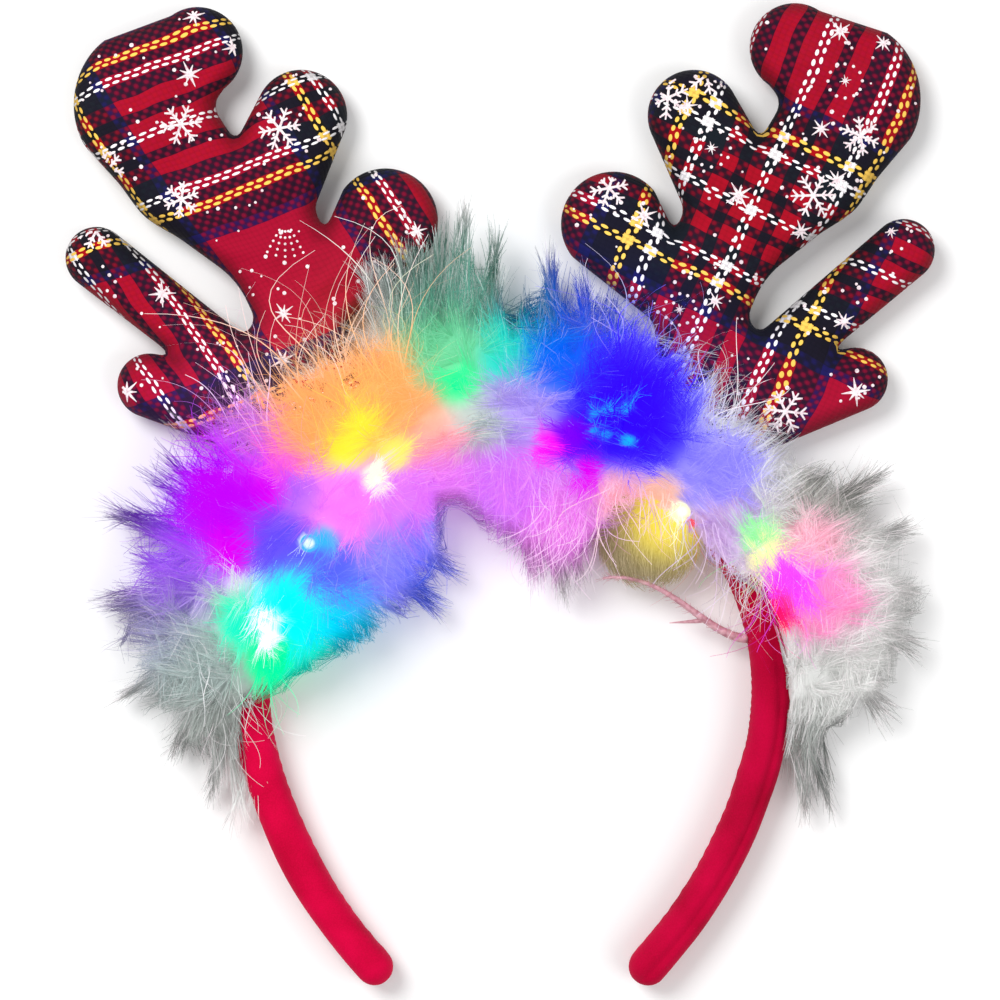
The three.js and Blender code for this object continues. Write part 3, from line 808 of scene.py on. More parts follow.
class Ink:
    """Flat strips and dots of print, gathered in mm from the hoop's centre."""

    def __init__(self):
        self.points, self.faces = [], []

    def strip(self, start, way, length, widths):
        """Strip from a start in a direction in degrees, with its width at even steps."""
        first = len(self.points)
        for k, width in enumerate(widths):
            middle = on_ray(start, way, length * k / (len(widths) - 1))
            self.points += [on_ray(middle, way + 90, width / 2), on_ray(middle, way - 90, width / 2)]
        for k in range(first, len(self.points) - 2, 2):
            self.faces.append((k, k + 1, k + 3, k + 2))

    def dot(self, centre, radius):
        first = len(self.points)
        self.points += [on_ray(centre, way, radius) for way in range(0, 360, 45)]
        self.faces.append(tuple(range(first, len(self.points))))

    def star(self, centre, radius, turn):
        for k in range(8):
            reach = radius if k % 2 == 0 else radius * STAR_SHORT
            self.strip(centre, turn + 45 * k, reach, STAR_WIDTHS * radius)

    def flake(self, centre, radius, turn):
        for way in turn + 60 * np.arange(6):
            self.strip(centre, way, radius, FLAKE_ARM)
            for share, twig in FLAKE_FORKS:
                fork = on_ray(centre, way, radius * share)
                for side in (TWIG_TURN, -TWIG_TURN):
                    self.strip(fork, way + side, radius * twig, FLAKE_TWIG)

    def ring(self, centre, radius):
        """Small star in a ring of dots."""
        self.star(centre, radius * RING_STAR, RING_STAR_TURN)
        for way in range(0, 360, 30):
            self.dot(on_ray(centre, way, radius), DOT_RADIUS)

    def fan(self, centre):
        """Dots in rays that open downwards from a place."""
        for way in FAN_WAYS:
            for reach in FAN_REACHES:
                self.dot(on_ray(centre, way, reach), FAN_DOT)

    def sheet(self, name, antler):
        """The print laid on an antler's front panel; what falls near or past the seam is left off."""
        spots = np.array(self.points) * MM + [HOOP_X, HOOP_Y]
        pattern = antler.pattern(spots)
        inside = antler.distance(pattern) < -PRINT_MARGIN
        faces = [face for face in self.faces if all(inside[k] for k in face)]
        used = {k: n for n, k in enumerate(dict.fromkeys(k for face in faces for k in face))}
        points = np.column_stack([spots, antler.front(pattern) + INK_LIFT])[list(used)]
        print_sheet = mesh_object(name, points, [tuple(used[k] for k in face) for face in faces])
        print_sheet.data.polygons.foreach_set("use_smooth", np.full(len(faces), False))
        solid = print_sheet.modifiers.new("ink", "SOLIDIFY")
        solid.thickness = INK_THICK
        solid.offset = -1
        return print_sheet


def white_ink():
    finish = Finish("white_ink")
    worn = finish.noise(finish.spot(), scale=1500, detail=3, roughness=0.7)
    return finish.surface({
        "Base Color": finish.ramp(worn, [(0.3, (206, 172, 182)), (0.55, (244, 232, 234))]),
        "Normal": finish.bump(worn, strength=0.3, distance=0.1 * MM),
        "Roughness": 0.6,
    })


ink_finish = white_ink()
draw = np.random.default_rng(77)
for node, kinds in PRINTS.items():
    antler = ANTLERS[node][0]
    ink = Ink()
    for centre in kinds["stars"]:
        ink.star(centre, STAR_RADIUS * draw.uniform(0.75, 1.1), draw.uniform(0, 45))
    for centre in kinds["flakes"]:
        ink.flake(centre, FLAKE_RADIUS * draw.uniform(0.85, 1.2), draw.uniform(0, 60))
    for centre in kinds["rings"]:
        ink.ring(centre, RING_RADIUS * draw.uniform(0.85, 1.15))
    for centre in kinds["fans"]:
        ink.fan(centre)
    pattern_spots = draw.uniform(PATTERN_LOW, PATTERN_HIGH, (SCATTERED_DOTS, 2))
    for spot in (antler.place(pattern_spots) - [HOOP_X, HOOP_Y]) / MM:
        ink.dot(spot, DOT_RADIUS * draw.uniform(0.6, 1.4))
    snow = ink.sheet(node.replace("antler", "snow_print"), antler)
    snow.data.materials.append(ink_finish)
    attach(snow, "root")


# Light bulbs
# Eleven small bulbs on a string hidden in the boa, each a short barrel with a domed lens, lit from inside
# so that the lens glows and colours the down round it.
BULB_SIDES = 28
LENS_SHARE, FOOT_SHARE = 0.92, 0.8  # of the barrel's radius
BARREL_HEIGHTS = 0.2 * MM, 0.9 * MM, 1.1 * MM  # rounded foot, top of the barrel, foot of the lens
DOME_TURN = 13  # degrees between the rings of the dome
LENS_TIP = 0.05 * MM
SPILL_WIDE = 23 * MM
SPILL_SHINE = 0.8

# lens colours of each bulb, rim and middle, then the patches of down that its light tints on its way out:
# colour, place across and up from the hoop's centre and spread, both in mm, and how strongly it shines
# the dim grey and greyish patches with little shine among these are painted shade on the down
GLOWS = {
    "led_1": ([(180, 255, 250), (255, 255, 255)], [
        ((255, 255, 255), (-62, 18.6), 2.9, 1.6), ((255, 255, 255), (-61.2, 13.8), 2.1, 1.6),
        ((0, 248, 255), (-54.5, 21.4), 7, 1.0), ((0, 250, 200), (-67.6, 16.2), 4.2, 1.0),
        ((0, 248, 170), (-61, 8.4), 4.6, 0.9), ((26, 236, 212), (-50.5, 8), 6, 0.8),
        ((0, 204, 244), (-43.5, 17), 7.5, 0.8), ((176, 192, 190), (-80, 8), 10, 0.06),
        ((160, 166, 162), (-74, -9), 9, 0.02)]),
    "led_2": ([(190, 0, 255), (206, 0, 255)], [
        ((190, 0, 255), (-72, 48.5), 13, 1.15), ((218, 0, 255), (-60.8, 52), 5, 1.0),
        ((226, 0, 252), (-69.6, 37), 3.6, 1.0), ((196, 4, 250), (-72, 57.5), 5, 0.9),
        ((116, 44, 204), (-90, 50), 9, 0.3), ((160, 90, 232), (-88, 30), 9, 0.35),
        ((150, 142, 192), (-90, 18), 9, 0.06)]),
    "led_3": ([(70, 190, 255), (225, 250, 255)], [
        ((225, 250, 255), (-51.5, 37.8), 1.5, 1.6), ((30, 196, 255), (-47.2, 38.6), 2.4, 0.9),
        ((104, 84, 252), (-57.6, 39.5), 6, 0.8), ((100, 110, 255), (-47, 31), 6.5, 0.7),
        ((146, 142, 252), (-30, 29.5), 8, 0.6), ((150, 142, 248), (-23, 38), 6, 0.5),
        ((40, 92, 246), (-24, 29), 6, 0.5)]),
    "led_4": ([(255, 240, 200), (255, 253, 235)], [
        ((255, 252, 215), (-34, 53.4), 2.9, 1.4), ((248, 130, 250), (-43.4, 47.4), 7.5, 0.7),
        ((228, 128, 255), (-28.4, 49), 7, 0.6), ((188, 112, 255), (-52.5, 49), 4.5, 0.7)]),
    "led_5": ([(255, 236, 50), (255, 246, 70)], [
        ((255, 242, 50), (-41.8, 61.4), 3.8, 1.0), ((255, 244, 50), (-37.6, 66.4), 3.6, 1.0),
        ((255, 246, 104), (-28.8, 60.4), 3.2, 1.0), ((255, 174, 102), (-49.5, 67), 9, 0.8),
        ((255, 180, 104), (-32.5, 72.5), 9.5, 0.7), ((255, 178, 150), (-19.5, 63.6), 6, 0.6),
        ((250, 104, 208), (-57, 57.5), 5, 0.6), ((206, 116, 226), (-65, 63), 7, 0.4)]),
    "led_6": ([(0, 250, 156), (10, 252, 160)], [
        ((0, 252, 156), (-12.3, 77.2), 3.6, 1.0), ((120, 218, 166), (-15.6, 86), 8, 0.5),
        ((86, 152, 134), (-14, 101), 12, 0.12), ((40, 226, 206), (-1, 85), 6, 0.6),
        ((190, 204, 198), (-8.5, 69), 6, 0.25)]),
    "led_7": ([(250, 0, 244), (250, 20, 246)], [
        ((250, 0, 244), (9.2, 62.4), 2.8, 1.0), ((180, 158, 236), (1.5, 71), 7.5, 0.4),
        ((232, 130, 244), (-17.5, 57), 7, 0.6), ((222, 128, 248), (-1, 52.5), 8.5, 0.5),
        ((236, 138, 236), (11, 43), 9, 0.3), ((232, 0, 240), (20, 55.6), 2.6, 0.8)]),
    "led_8": ([(46, 0, 255), (46, 10, 255)], [
        ((46, 0, 255), (29, 70), 15, 1.3), ((130, 0, 255), (14.5, 64.4), 3.2, 0.9),
        ((20, 190, 255), (20.8, 70.4), 0.7, 1.0), ((20, 190, 255), (23.8, 71), 0.6, 1.0),
        ((20, 200, 255), (29, 71.6), 1.0, 1.0), ((20, 170, 255), (20.6, 65.4), 0.8, 0.9),
        ((20, 180, 255), (23.8, 64.8), 0.7, 0.9), ((20, 200, 255), (29.4, 63.2), 1.0, 1.0),
        ((0, 106, 242), (9.7, 83), 6.5, 0.7), ((18, 116, 166), (6, 95), 7, 0.2),
        ((12, 70, 212), (19, 99), 8.5, 0.3)]),
    "led_9": ([(255, 252, 200), (255, 255, 240)], [
        ((255, 255, 220), (42.4, 45.8), 1.7, 1.4), ((255, 60, 50), (46, 42.6), 0.5, 0.7),
        ((214, 184, 230), (53, 42), 6, 0.12),
        ((252, 190, 206), (27, 51.5), 4, 0.3), ((255, 208, 190), (37, 49.6), 3.6, 0.3),
        ((158, 148, 255), (51, 54), 6.5, 0.45)]),
    "led_10": ([(220, 255, 205), (240, 255, 220)], [
        ((160, 255, 170), (61.2, 39.4), 2.3, 0.7), ((255, 250, 190), (64, 34.6), 2.2, 0.8)]),
    "led_11": ([(240, 60, 250), (242, 76, 252)], [
        ((240, 70, 250), (71.5, 26), 4.6, 0.8), ((255, 10, 100), (67.6, 20.2), 2.6, 0.8),
        ((252, 160, 212), (78, 22), 5.6, 0.25), ((250, 196, 214), (75, 37), 4.6, 0.12),
        ((158, 164, 160), (78, -17), 8, 0.02), ((178, 180, 174), (80, 49), 7, 0.04)]),
}


def lens_finish(name, rim, hot):
    """Lit lens: hot at the top of the dome, the colour of its glow at the rim."""
    finish = Finish(name)
    facing = finish.add("TexCoord", "Normal")
    haze = finish.noise(finish.spot(), scale=420)
    up = haze * 0.12 + finish.add("SeparateXYZ", "Z", {0: facing})
    glow = finish.ramp(up, [(0.72, rim), (0.98, hot)])
    return finish.surface({
        "Base Color": finish.scaled(glow, 0.3),
        "Emission Color": glow,
        "Emission Strength": 0.85,
        "Roughness": 0.25,
        "Coat Weight": 0.4,
    })


def bulb(name, low, high):
    """Short barrel with a rounded foot and a domed lens, in the box of its node."""
    radius = (high.x - low.x) / 2
    lens = radius * LENS_SHARE
    shoulder = high.z - radius
    foot, top, neck = (low.z + height for height in BARREL_HEIGHTS)
    rim = [(radius * FOOT_SHARE, low.z), (radius, foot), (radius, top), (lens, neck)]
    turns = np.radians(np.arange(0, 90, DOME_TURN))
    dome = [(lens * math.cos(turn), shoulder + radius * math.sin(turn)) for turn in turns]
    around = np.linspace(0, 2 * np.pi, BULB_SIDES, endpoint=False)
    middle = (low + high) / 2
    rings = [np.stack([middle.x + r * np.cos(around), middle.y + r * np.sin(around), 0 * around + z], -1)
             for r, z in rim + dome + [(LENS_TIP, high.z)]]
    return ringed_body(name, np.array(rings))


glow_spots = []
for node, (lens, spots) in GLOWS.items():
    low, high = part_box(node)
    lamp = bulb(node + "_lens", low, high)
    lamp.data.materials.append(lens_finish(node + "_glow", *lens))
    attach(lamp, "root")
    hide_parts(node)
    for colour, (across, up), spread, shine in spots:
        place = HOOP_X + across * MM, HOOP_Y + up * MM
        glow_spots.append((place, linear(*colour), spread * MM, shine))


def colour_layer(obj, name, colours):
    layer = obj.data.color_attributes.new(name=name, type="FLOAT_COLOR", domain="POINT")
    rgba = np.column_stack([colours, np.ones(len(colours))])
    layer.data.foreach_set("color", rgba.astype(np.float32).ravel())


# light of the bulbs that falls on the cloth round the boa
for cloth in pillows:
    points = mesh_points(cloth)
    spill = np.zeros((len(points), 3))
    for place, lit, spread, shine in glow_spots:
        away = np.hypot(points[:, 0] - place[0], points[:, 1] - place[1])
        spill += lit * (shine * spread / SPILL_WIDE * np.exp(-(away / SPILL_WIDE) ** 2))[:, None]
    colour_layer(cloth, "spill", spill * SPILL_SHINE)


# Feather boa
# White marabou: soft plumes twisted on a cord and wound over the crown of the band. Each plume is a fine
# quill with long loose barbs that gather in wisps at the edge, and the bulbs colour the down round them.
BAND_MID = BAND_DEPTH / 2
FLUFF_CLEAR = 0.6 * MM
FULL_REACH = 26 * MM
LAID_FROM = 3 * MM  # barbs above this height lie on the antlers' cloth
LAID_CLEAR = 0.5 * MM

# reach of the feathers along the hoop: degrees, towards the head, away from it, front height, in mm
REACH = np.array([
    (-7, 1, 9, 13), (0, 1.5, 23, 19), (14, 2.5, 33, 27), (24, 3, 32, 28), (30, 6, 31, 28), (40, 7, 27, 29),
    (48, 8, 26, 29), (56, 10, 28, 30), (61, 18, 30, 30), (65, 31, 31, 30), (72, 33, 33, 30),
    (79, 31, 37, 30), (84.5, 30, 41, 30),
    (89.8, 27, 24, 29), (95.6, 25, 50, 30), (99, 22, 47, 30), (104, 16, 38, 30), (111, 14, 33, 30),
    (117, 27, 32, 30), (126, 32, 32, 31), (142, 31, 38, 32), (151, 27, 38, 32), (160, 24, 36, 31),
    (170, 18, 34, 27), (176, 10.5, 30, 22), (182, 5, 21, 17), (188, 2.5, 14, 14), (192, 1, 7, 13),
])

# how far the boa leans outwards off the band at its two ends, by degrees along the hoop, in mm
LEAN = np.array([(-7, 5), (14, 5), (22, 4.5), (27, 2), (31, 0), (178, 0), (183, 3), (188, 5), (192, 5)])

# wisps: degrees between them, how far strands are drawn to them and from which share of the reach, and
# how unevenly and how softly they end
WISP_SPACINGS = 3.4, 5.2, 7.0
WISP_DRAWN, WISP_SHARES = (0.15, 0.85), (0.45, 1.05)
WISP_UNEVEN, WISP_LIMIT, WISP_SOFT = 0.17, 0.98, 0.28


def lean_at(degrees):
    return np.interp(degrees, LEAN[:, 0], LEAN[:, 1]) * MM


def reach_at(degrees):
    """Reach of the feathers towards the head, away from it and to the front, in metres."""
    return [np.interp(degrees, REACH[:, 0], REACH[:, k]) * MM for k in (1, 2, 3)]


def boa_point(degrees, way, share, rise):
    """Point round the boa: way 0 is away from the head, 90 the front, 180 towards the head."""
    degrees = np.clip(degrees, REACH[0, 0], REACH[-1, 0])
    inner, outer, front = reach_at(degrees)
    c, s = np.cos(np.radians(way)), np.sin(np.radians(way))
    x, y = hoop_point(degrees, lean_at(degrees) + np.where(c > 0, outer, inner) * c * share)
    return np.stack([x, y, BAND_MID + (front - BAND_MID) * s * rise], -1)


def boa_share(points):
    """Angle along the hoop, distance out from the boa's middle, share of its reach, and share sideways."""
    x, y = points[:, 0] - HOOP_X, points[:, 1] - HOOP_Y
    degrees = np.degrees(np.arctan2(y, x))
    degrees = np.where(degrees < -90, degrees + 360, degrees)
    out = np.hypot(x, y) - CROWN_RADIUS - lean_at(degrees)
    inner, outer, front = reach_at(degrees)
    side = out / np.where(out > 0, outer, inner)
    return degrees, out, np.hypot(side, (points[:, 2] - BAND_MID) / (front - BAND_MID)), np.abs(side)


def over_antlers(points):
    """Lift what lies in the front half of an antler's stuffing on to its cloth."""
    for antler, *_ in ANTLERS.values():
        pattern = antler.pattern(points[:, :2])
        near = (antler.distance(pattern) < 0) & (points[:, 2] > LAID_FROM)
        laid = antler.front(pattern[near]) + LAID_CLEAR
        points[near, 2] = np.maximum(points[near, 2], laid)
    return points


def comb(spines, draw):
    """Draw the outer ends of strands together into wisps, and hold them within the boa's reach."""
    count, steps = spines.shape[:2]
    flat = spines.reshape(-1, 3)
    degrees, out, share, _ = boa_share(flat)
    spacing = np.repeat(draw.choice(WISP_SPACINGS, count), steps)
    wisp = np.round(degrees / spacing)
    loose = np.repeat(draw.uniform(*WISP_DRAWN, count), steps)
    degrees = degrees + (wisp * spacing - degrees) * loose * ease(share, *WISP_SHARES)
    # the sine gives each wisp a length of its own, the same on every run
    limit = WISP_LIMIT * (1 + WISP_UNEVEN * np.sin(wisp * 12.9 + spacing * 7.1))
    over = np.maximum(share / limit, TINY)
    held = np.where(over > 1, (1 + WISP_SOFT * (1 - np.exp((1 - over) / WISP_SOFT))) / over, 1)
    x, y = hoop_point(np.clip(degrees, -LEG_START, 180 + LEG_START), lean_at(degrees) + out * held)
    z = BAND_MID + (flat[:, 2] - BAND_MID) * held
    return over_antlers(np.stack([x, y, z], -1)).reshape(spines.shape)


# how down takes up light: colours of unlit down and pale strands, weight of the plain white against the glow,
# and the faint painted glow given even to unlit down
DOWN_WHITE = linear(226, 227, 225)
STRAND_WHITE = linear(252, 238, 244)
PLAIN_WEIGHT = 0.11
PLAIN_GLOW = 0.17
GLOW_SIZE = 8 * MM  # spread of the patch that has the weight 1
GLOW_WIDE = 0.6  # power by which a wide patch weighs less
GLOW_PULL = 1.5  # power by which the strongest patch wins
GLOW_GAIN = 0.74
RAGGED_SIZE, RAGGED_SHARE = 6 * MM, 0.13
EDGE_SOFT, EDGE_HARD, EDGE_GAIN = 1.9, 3, 5.5  # how sharply a weak and a strong patch end
# painted light: how sharply the bulbs' colour painted on the down ends
LIT_SHARE_SOFT, LIT_SHARE_GAIN = 1.5, 1.7
SHADED_LOW, SHADED_HIGH = 3 * MM, 14 * MM  # heights between which the light reaches the down
SHADED_SHINE = 0.5
LEAST_REACHED = 1e-9
TIP_SHADE, TIP_SHARES = 0.55, (0.8, 1.12)  # darkening of the outer ends, by share of the reach
PALE_CLEAR, PALE_LIT = 0.5, 0.46
# share of the painted colour kept in the base, smaller where the bulbs' painted glow is strong
BASE_PLAIN, BASE_LOSS, BASE_LEAST = 0.92, 0.72, 0.15


def lit_down(points, sources, pale, seed):
    """Colour and glow of down that takes its light at the sources; pale strands take less colour."""
    ragged = 1 + RAGGED_SHARE * soft_noise(sources, RAGGED_SIZE, seed)
    reached = np.full(len(points), LEAST_REACHED)
    total = np.full(len(points), TINY)
    colour = np.zeros((len(points), 3))
    shine = np.zeros(len(points))
    for place, lit, spread, strength in glow_spots:
        away = np.hypot(sources[:, 0] - place[0], sources[:, 1] - place[1]) / spread * ragged
        edge = np.clip(EDGE_SOFT + EDGE_GAIN * (strength - 1), EDGE_SOFT, EDGE_HARD)
        weight = (GLOW_SIZE / spread) ** GLOW_WIDE * np.exp(-away ** edge)
        reached += weight
        pull = weight ** GLOW_PULL
        total += pull
        colour += lit * pull[:, None]
        shine += strength * pull
    sharp = LIT_SHARE_SOFT + LIT_SHARE_GAIN * np.minimum(shine / total, 1)
    # share of the bulbs' painted light in the down's colour
    lit_share = 1 / (1 + (PLAIN_WEIGHT / reached) ** sharp)
    colour = DOWN_WHITE + (colour / total[:, None] - DOWN_WHITE) * lit_share[:, None]
    open_air = ease(points[:, 2], SHADED_LOW, SHADED_HIGH)
    shine = shine / total * lit_share * (SHADED_SHINE + (1 - SHADED_SHINE) * open_air)
    dark = TIP_SHADE * ease(boa_share(points)[3], *TIP_SHARES) * np.maximum(1 - pale, 0)
    colour = colour * (1 - dark)[:, None]
    clear = np.clip(PALE_CLEAR * pale - PALE_LIT * np.minimum(shine, 1), 0, 1)
    colour = colour + (STRAND_WHITE - colour) * clear[:, None]
    lit_base = np.maximum(BASE_PLAIN - BASE_LOSS * shine, BASE_LEAST)
    return colour * lit_base[:, None], colour * (PLAIN_GLOW + GLOW_GAIN * shine)[:, None]


def paint(obj, lit_base, glow):
    # painted light: the base colour holds the bulbs' tint, the glow layer their light
    colour_layer(obj, "lit_base", lit_base)
    colour_layer(obj, "glow", glow)


def down_finish(name, fibres):
    """Down that shows its painted base colour, tinted by the bulbs' light, and its painted glow, toned by
    fibres of the given scale.
    """
    finish = Finish(name)
    tone = finish.noise(finish.spot(), fibres, detail=3, roughness=0.7) * 0.3 + 0.85
    finish.material.cycles.emission_sampling = "NONE"
    return finish.surface({
        "Base Color": finish.scaled(finish.layer("lit_base", "Color"), tone),
        "Emission Color": finish.layer("glow", "Color"),
        "Emission Strength": 1.0,
        "Roughness": 0.8,
        "Specular IOR Level": 0,
    })


def unit(vectors):
    return vectors / np.maximum(np.linalg.norm(vectors, axis=-1, keepdims=True), TINY)


# dense underfluff in the middle of the boa: its share of the reach and of the height, mesh and lumps
CORE_SHARE, CORE_RISE = 0.62, 0.76
CORE_STATIONS, CORE_SIDES = 260, 64
CORE_WAYS = -40, 220
CORE_TAPER, CORE_END = 6, 0.2  # degrees along the hoop, and the share left at the ends
CORE_LUMPS = (11 * MM, 1), (5 * MM, 0.6), (2 * MM, 0.35)
CORE_LUMP_HEIGHT = 1.5 * MM


def down_core():
    degrees = np.linspace(REACH[0, 0], REACH[-1, 0], CORE_STATIONS)[:, None]
    ways = np.linspace(*CORE_WAYS, CORE_SIDES)[None, :]
    d, w = (degrees + 0 * ways).ravel(), (0 * degrees + ways).ravel()
    points = boa_point(d, w, CORE_SHARE, CORE_RISE)
    centre = boa_point(d, w, 0, 0)
    away = unit(points - centre)
    lumps = layered_noise(points, CORE_LUMPS, 41)
    taper = np.clip(np.minimum(d - REACH[0, 0], REACH[-1, 0] - d) / CORE_TAPER, 0, 1)[:, None]
    swell = away * lumps[:, None] * CORE_LUMP_HEIGHT * taper
    points = centre + (points - centre) * (CORE_END + (1 - CORE_END) * taper) + swell
    points[:, 2] = np.maximum(points[:, 2], FLUFF_CLEAR)
    core = ringed_body("boa_core", points.reshape(CORE_STATIONS, CORE_SIDES, 3))
    spots = mesh_points(core)
    paint(core, *lit_down(spots, spots, np.zeros(len(spots)), 44))
    return core


STRAND_TAPER = 0.5, 0.16  # half the width at the root and at the tip, as shares
CELL_MARGIN, CELL_WIDE = 0.15, 0.7  # of a strand's cell in the map


def strands(name, spines, widths, draw):
    """Fine flat strands along rows of points, each with its own cell in the map."""
    count, steps = spines.shape[:2]
    across = unit(np.cross(np.gradient(spines, axis=1), draw.normal(size=(count, 1, 3))))
    across = across * np.linspace(*STRAND_TAPER, steps)[None, :, None] * widths[:, None, None]
    points = np.stack([spines - across, spines + across], 2).reshape(-1, 3)
    points[:, 2] = np.maximum(points[:, 2], FLUFF_CLEAR)
    base = (np.arange(count)[:, None] * steps + np.arange(steps - 1)).ravel() * 2
    obj = mesh_object(name, points, np.stack([base, base + 1, base + 3, base + 2], -1).tolist())
    cells = int(math.ceil(math.sqrt(count)))
    number = np.repeat(np.arange(count), steps * 2)
    along = np.tile(np.repeat(np.arange(steps), 2), count) / (steps - 1)
    edge = np.tile([0.0, 1.0], count * steps)
    cell = np.stack([number % cells, number // cells], -1)
    lay_map(obj, "OFBake", (cell + CELL_MARGIN + CELL_WIDE * np.stack([edge, along], -1)) / cells)
    return obj


BARB_POINTS = 5
BARB_LENGTH = 15 * MM
BARB_SIZES = 0.5, 1.3  # shares of the length
BARB_START = 0.1  # share of the quill that is bare
BARB_OPEN, BARB_CLOSE = 1.15, 0.75  # how wide barbs stand at the root, and how much less at the tip
BARB_FULL, BARB_SHORT = 1.15, 0.6  # the same for their length
BARB_CURL, BARB_STRAY, BARB_DROOP = 0.4, 0.1, [0, 0, -0.08]


def plume_barbs(roots, bends, tips, length, barbs, spread, draw):
    """Barbs of many plumes: each plume is a curved quill with loose barbs all round it."""
    count = len(roots)
    t = draw.uniform(BARB_START, 1, (count, barbs, 1))
    roots, bends, tips = roots[:, None], bends[:, None], tips[:, None]
    quill = (1 - t) ** 2 * roots + 2 * t * (1 - t) * bends + t * t * tips
    ahead = unit((1 - t) * (bends - roots) + t * (tips - bends))
    side = unit(np.cross(ahead, draw.normal(size=(count, barbs, 3))))
    angle = np.radians(draw.uniform(*spread, (count, barbs, 1))) * (BARB_OPEN - BARB_CLOSE * t)
    way = ahead * np.cos(angle) + side * np.sin(angle)
    size = length * (BARB_FULL - BARB_SHORT * t) * draw.uniform(*BARB_SIZES, (count, barbs, 1))
    curl = BARB_CURL * (ahead - way) + BARB_STRAY * draw.normal(size=way.shape) + BARB_DROOP
    marks = np.linspace(0, 1, BARB_POINTS)[None, None, :, None]
    spines = quill[:, :, None] + size[:, :, None] * (marks * way[:, :, None] + marks ** 2 * curl[:, :, None])
    return spines.reshape(-1, BARB_POINTS, 3)


ROOT_SHARES = CORE_SHARE * 0.4, CORE_RISE * 0.5
BEND_SHARES = CORE_SHARE * 1.1, CORE_RISE * 1.2
TIP_REACH = 0.6, 1.0
PLUME_SWEEP, PLUME_TILT = 6, 12  # degrees that tips stray along the hoop and round the boa
BEND_SWEEP = 0.3  # of the tip's sweep
BEND_STRAY, TIP_STRAY = 1.6 * MM, 2 * MM
LEAST_FULL = 0.25


def boa_plumes(count, degrees, ways, draw):
    """Roots, bends and tips of plumes within a run of the boa, and the length of their barbs."""
    degrees = draw.uniform(*degrees, count)
    way = draw.uniform(*ways, count)
    sweep = draw.normal(0, PLUME_SWEEP, count)
    tilt = way + draw.normal(0, PLUME_TILT, count)
    reach = draw.uniform(*TIP_REACH, count)
    roots = boa_point(degrees, way, *ROOT_SHARES)
    bends = boa_point(degrees + sweep * BEND_SWEEP, tilt, *BEND_SHARES)
    tips = boa_point(degrees + sweep, tilt, reach, reach)
    inner, outer, _ = reach_at(degrees)
    full = np.where(np.cos(np.radians(way)) > 0, outer, inner) / FULL_REACH
    full = np.clip(full, LEAST_FULL, 1)
    bends = bends + draw.normal(0, BEND_STRAY, bends.shape) * full[:, None]
    tips = tips + draw.normal(0, TIP_STRAY, tips.shape) * full[:, None]
    return roots, bends, tips, BARB_LENGTH * full[:, None, None]


PALE_RANGE, DYED_RANGE = (0.4, 1), (0, 0.05)
PALE_ALONG = 0.3, 1.3  # paleness at a strand's root and tip


def pale_share(count, white, draw):
    """How pale each strand is: most take the bulbs' colour, a share of them stays nearly white."""
    stays_white = draw.uniform(size=count) < white
    return np.where(stays_white, draw.uniform(*PALE_RANGE, count), draw.uniform(*DYED_RANGE, count))


def dress(piece, finish, node):
    piece.data.materials.append(finish)
    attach(piece, "root")
    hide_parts(node)


def boa_strands(name, spines, widths, pale, rooted, draw):
    """Strands of the boa, coloured by the bulbs near them and, by the share rooted, near their roots."""
    down = strands(name, spines, draw.uniform(*widths, len(spines)) * MM, draw)
    points_each = spines.shape[1] * 2
    points = mesh_points(down)
    sources = points + (np.repeat(spines[:, 0], points_each, axis=0) - points) * rooted
    along = np.tile(np.repeat(np.linspace(*PALE_ALONG, spines.shape[1]), 2), len(spines))
    paint(down, *lit_down(points, sources, np.repeat(pale, points_each) * along, 45))
    dress(down, barb_finish, "feather_boa")


# long wisps that stand out of the boa: root and tip across and up from the hoop's centre, and height, in mm
WISPS = [
    (-14, 79, -12, 119, 14), (-19, 82, -18, 113, 10), (-9, 80, -4, 111, 12), (-23, 84, -26, 108, 16),
    (14, 76, 10, 107, 12), (20, 76, 18, 100, 14), (-79, 26, -100, 23, 9), (-77, 10, -96, 0, 8),
    (-80, 38, -97, 44, 10), (-73, -2, -76, -22, 7), (-71, -3, -69, -28, 9), (-75, 4, -84, -12, 6),
    (71, -3, 75, -28, 7), (72, -1, 80, -26, 6), (8, 54, 12, 29, 12), (4, 52, 5, 33, 13),
    (14, 52, 17, 32, 11), (-43, 34, -23, 24, 9), (-38, 44, -19, 33, 9), (80, 30, 98, 26, 9),
    (82, 20, 99, 12, 8), (78, 8, 94, -4, 7), (78, 44, 90, 52, 9), (80, 37, 97, 40, 9),
    (-26, 82, -31, 103, 16), (-29, 84, -36, 104, 16), (-22, 84, -22, 106, 15),
]

draw = np.random.default_rng(2024)
core = down_core()
dress(core, down_finish("down_underfluff", 900), "feather_boa")
barb_finish = down_finish("down_barbs", 500)

# runs of plumes: degrees along the hoop, ways round the boa, and the angles their barbs stand off the quill
BOA_RUNS = [
    ((-3, 34), (-22, 96), (2, 16)),
    ((34, 74), (-22, 202), (4, 26)),
    ((74, 112), (-22, 202), (4, 26)),
    ((112, 150), (-22, 202), (4, 26)),
    ((150, 184), (-22, 202), (3, 22)),
]
RUN_PLUMES, PLUME_BARBS = 205, 72
DOWN_WIDTHS, DOWN_PALE, DOWN_ROOTED = (0.13, 0.28), 0.2, 0.5  # mm, and shares
for number, (degrees, ways, spread) in enumerate(BOA_RUNS, 1):
    plumes = boa_plumes(RUN_PLUMES, degrees, ways, draw)
    spines = comb(plume_barbs(*plumes, PLUME_BARBS, spread, draw), draw)
    pale = pale_share(len(spines), DOWN_PALE, draw)
    boa_strands(f"boa_down_{number}", spines, DOWN_WIDTHS, pale, DOWN_ROOTED, draw)

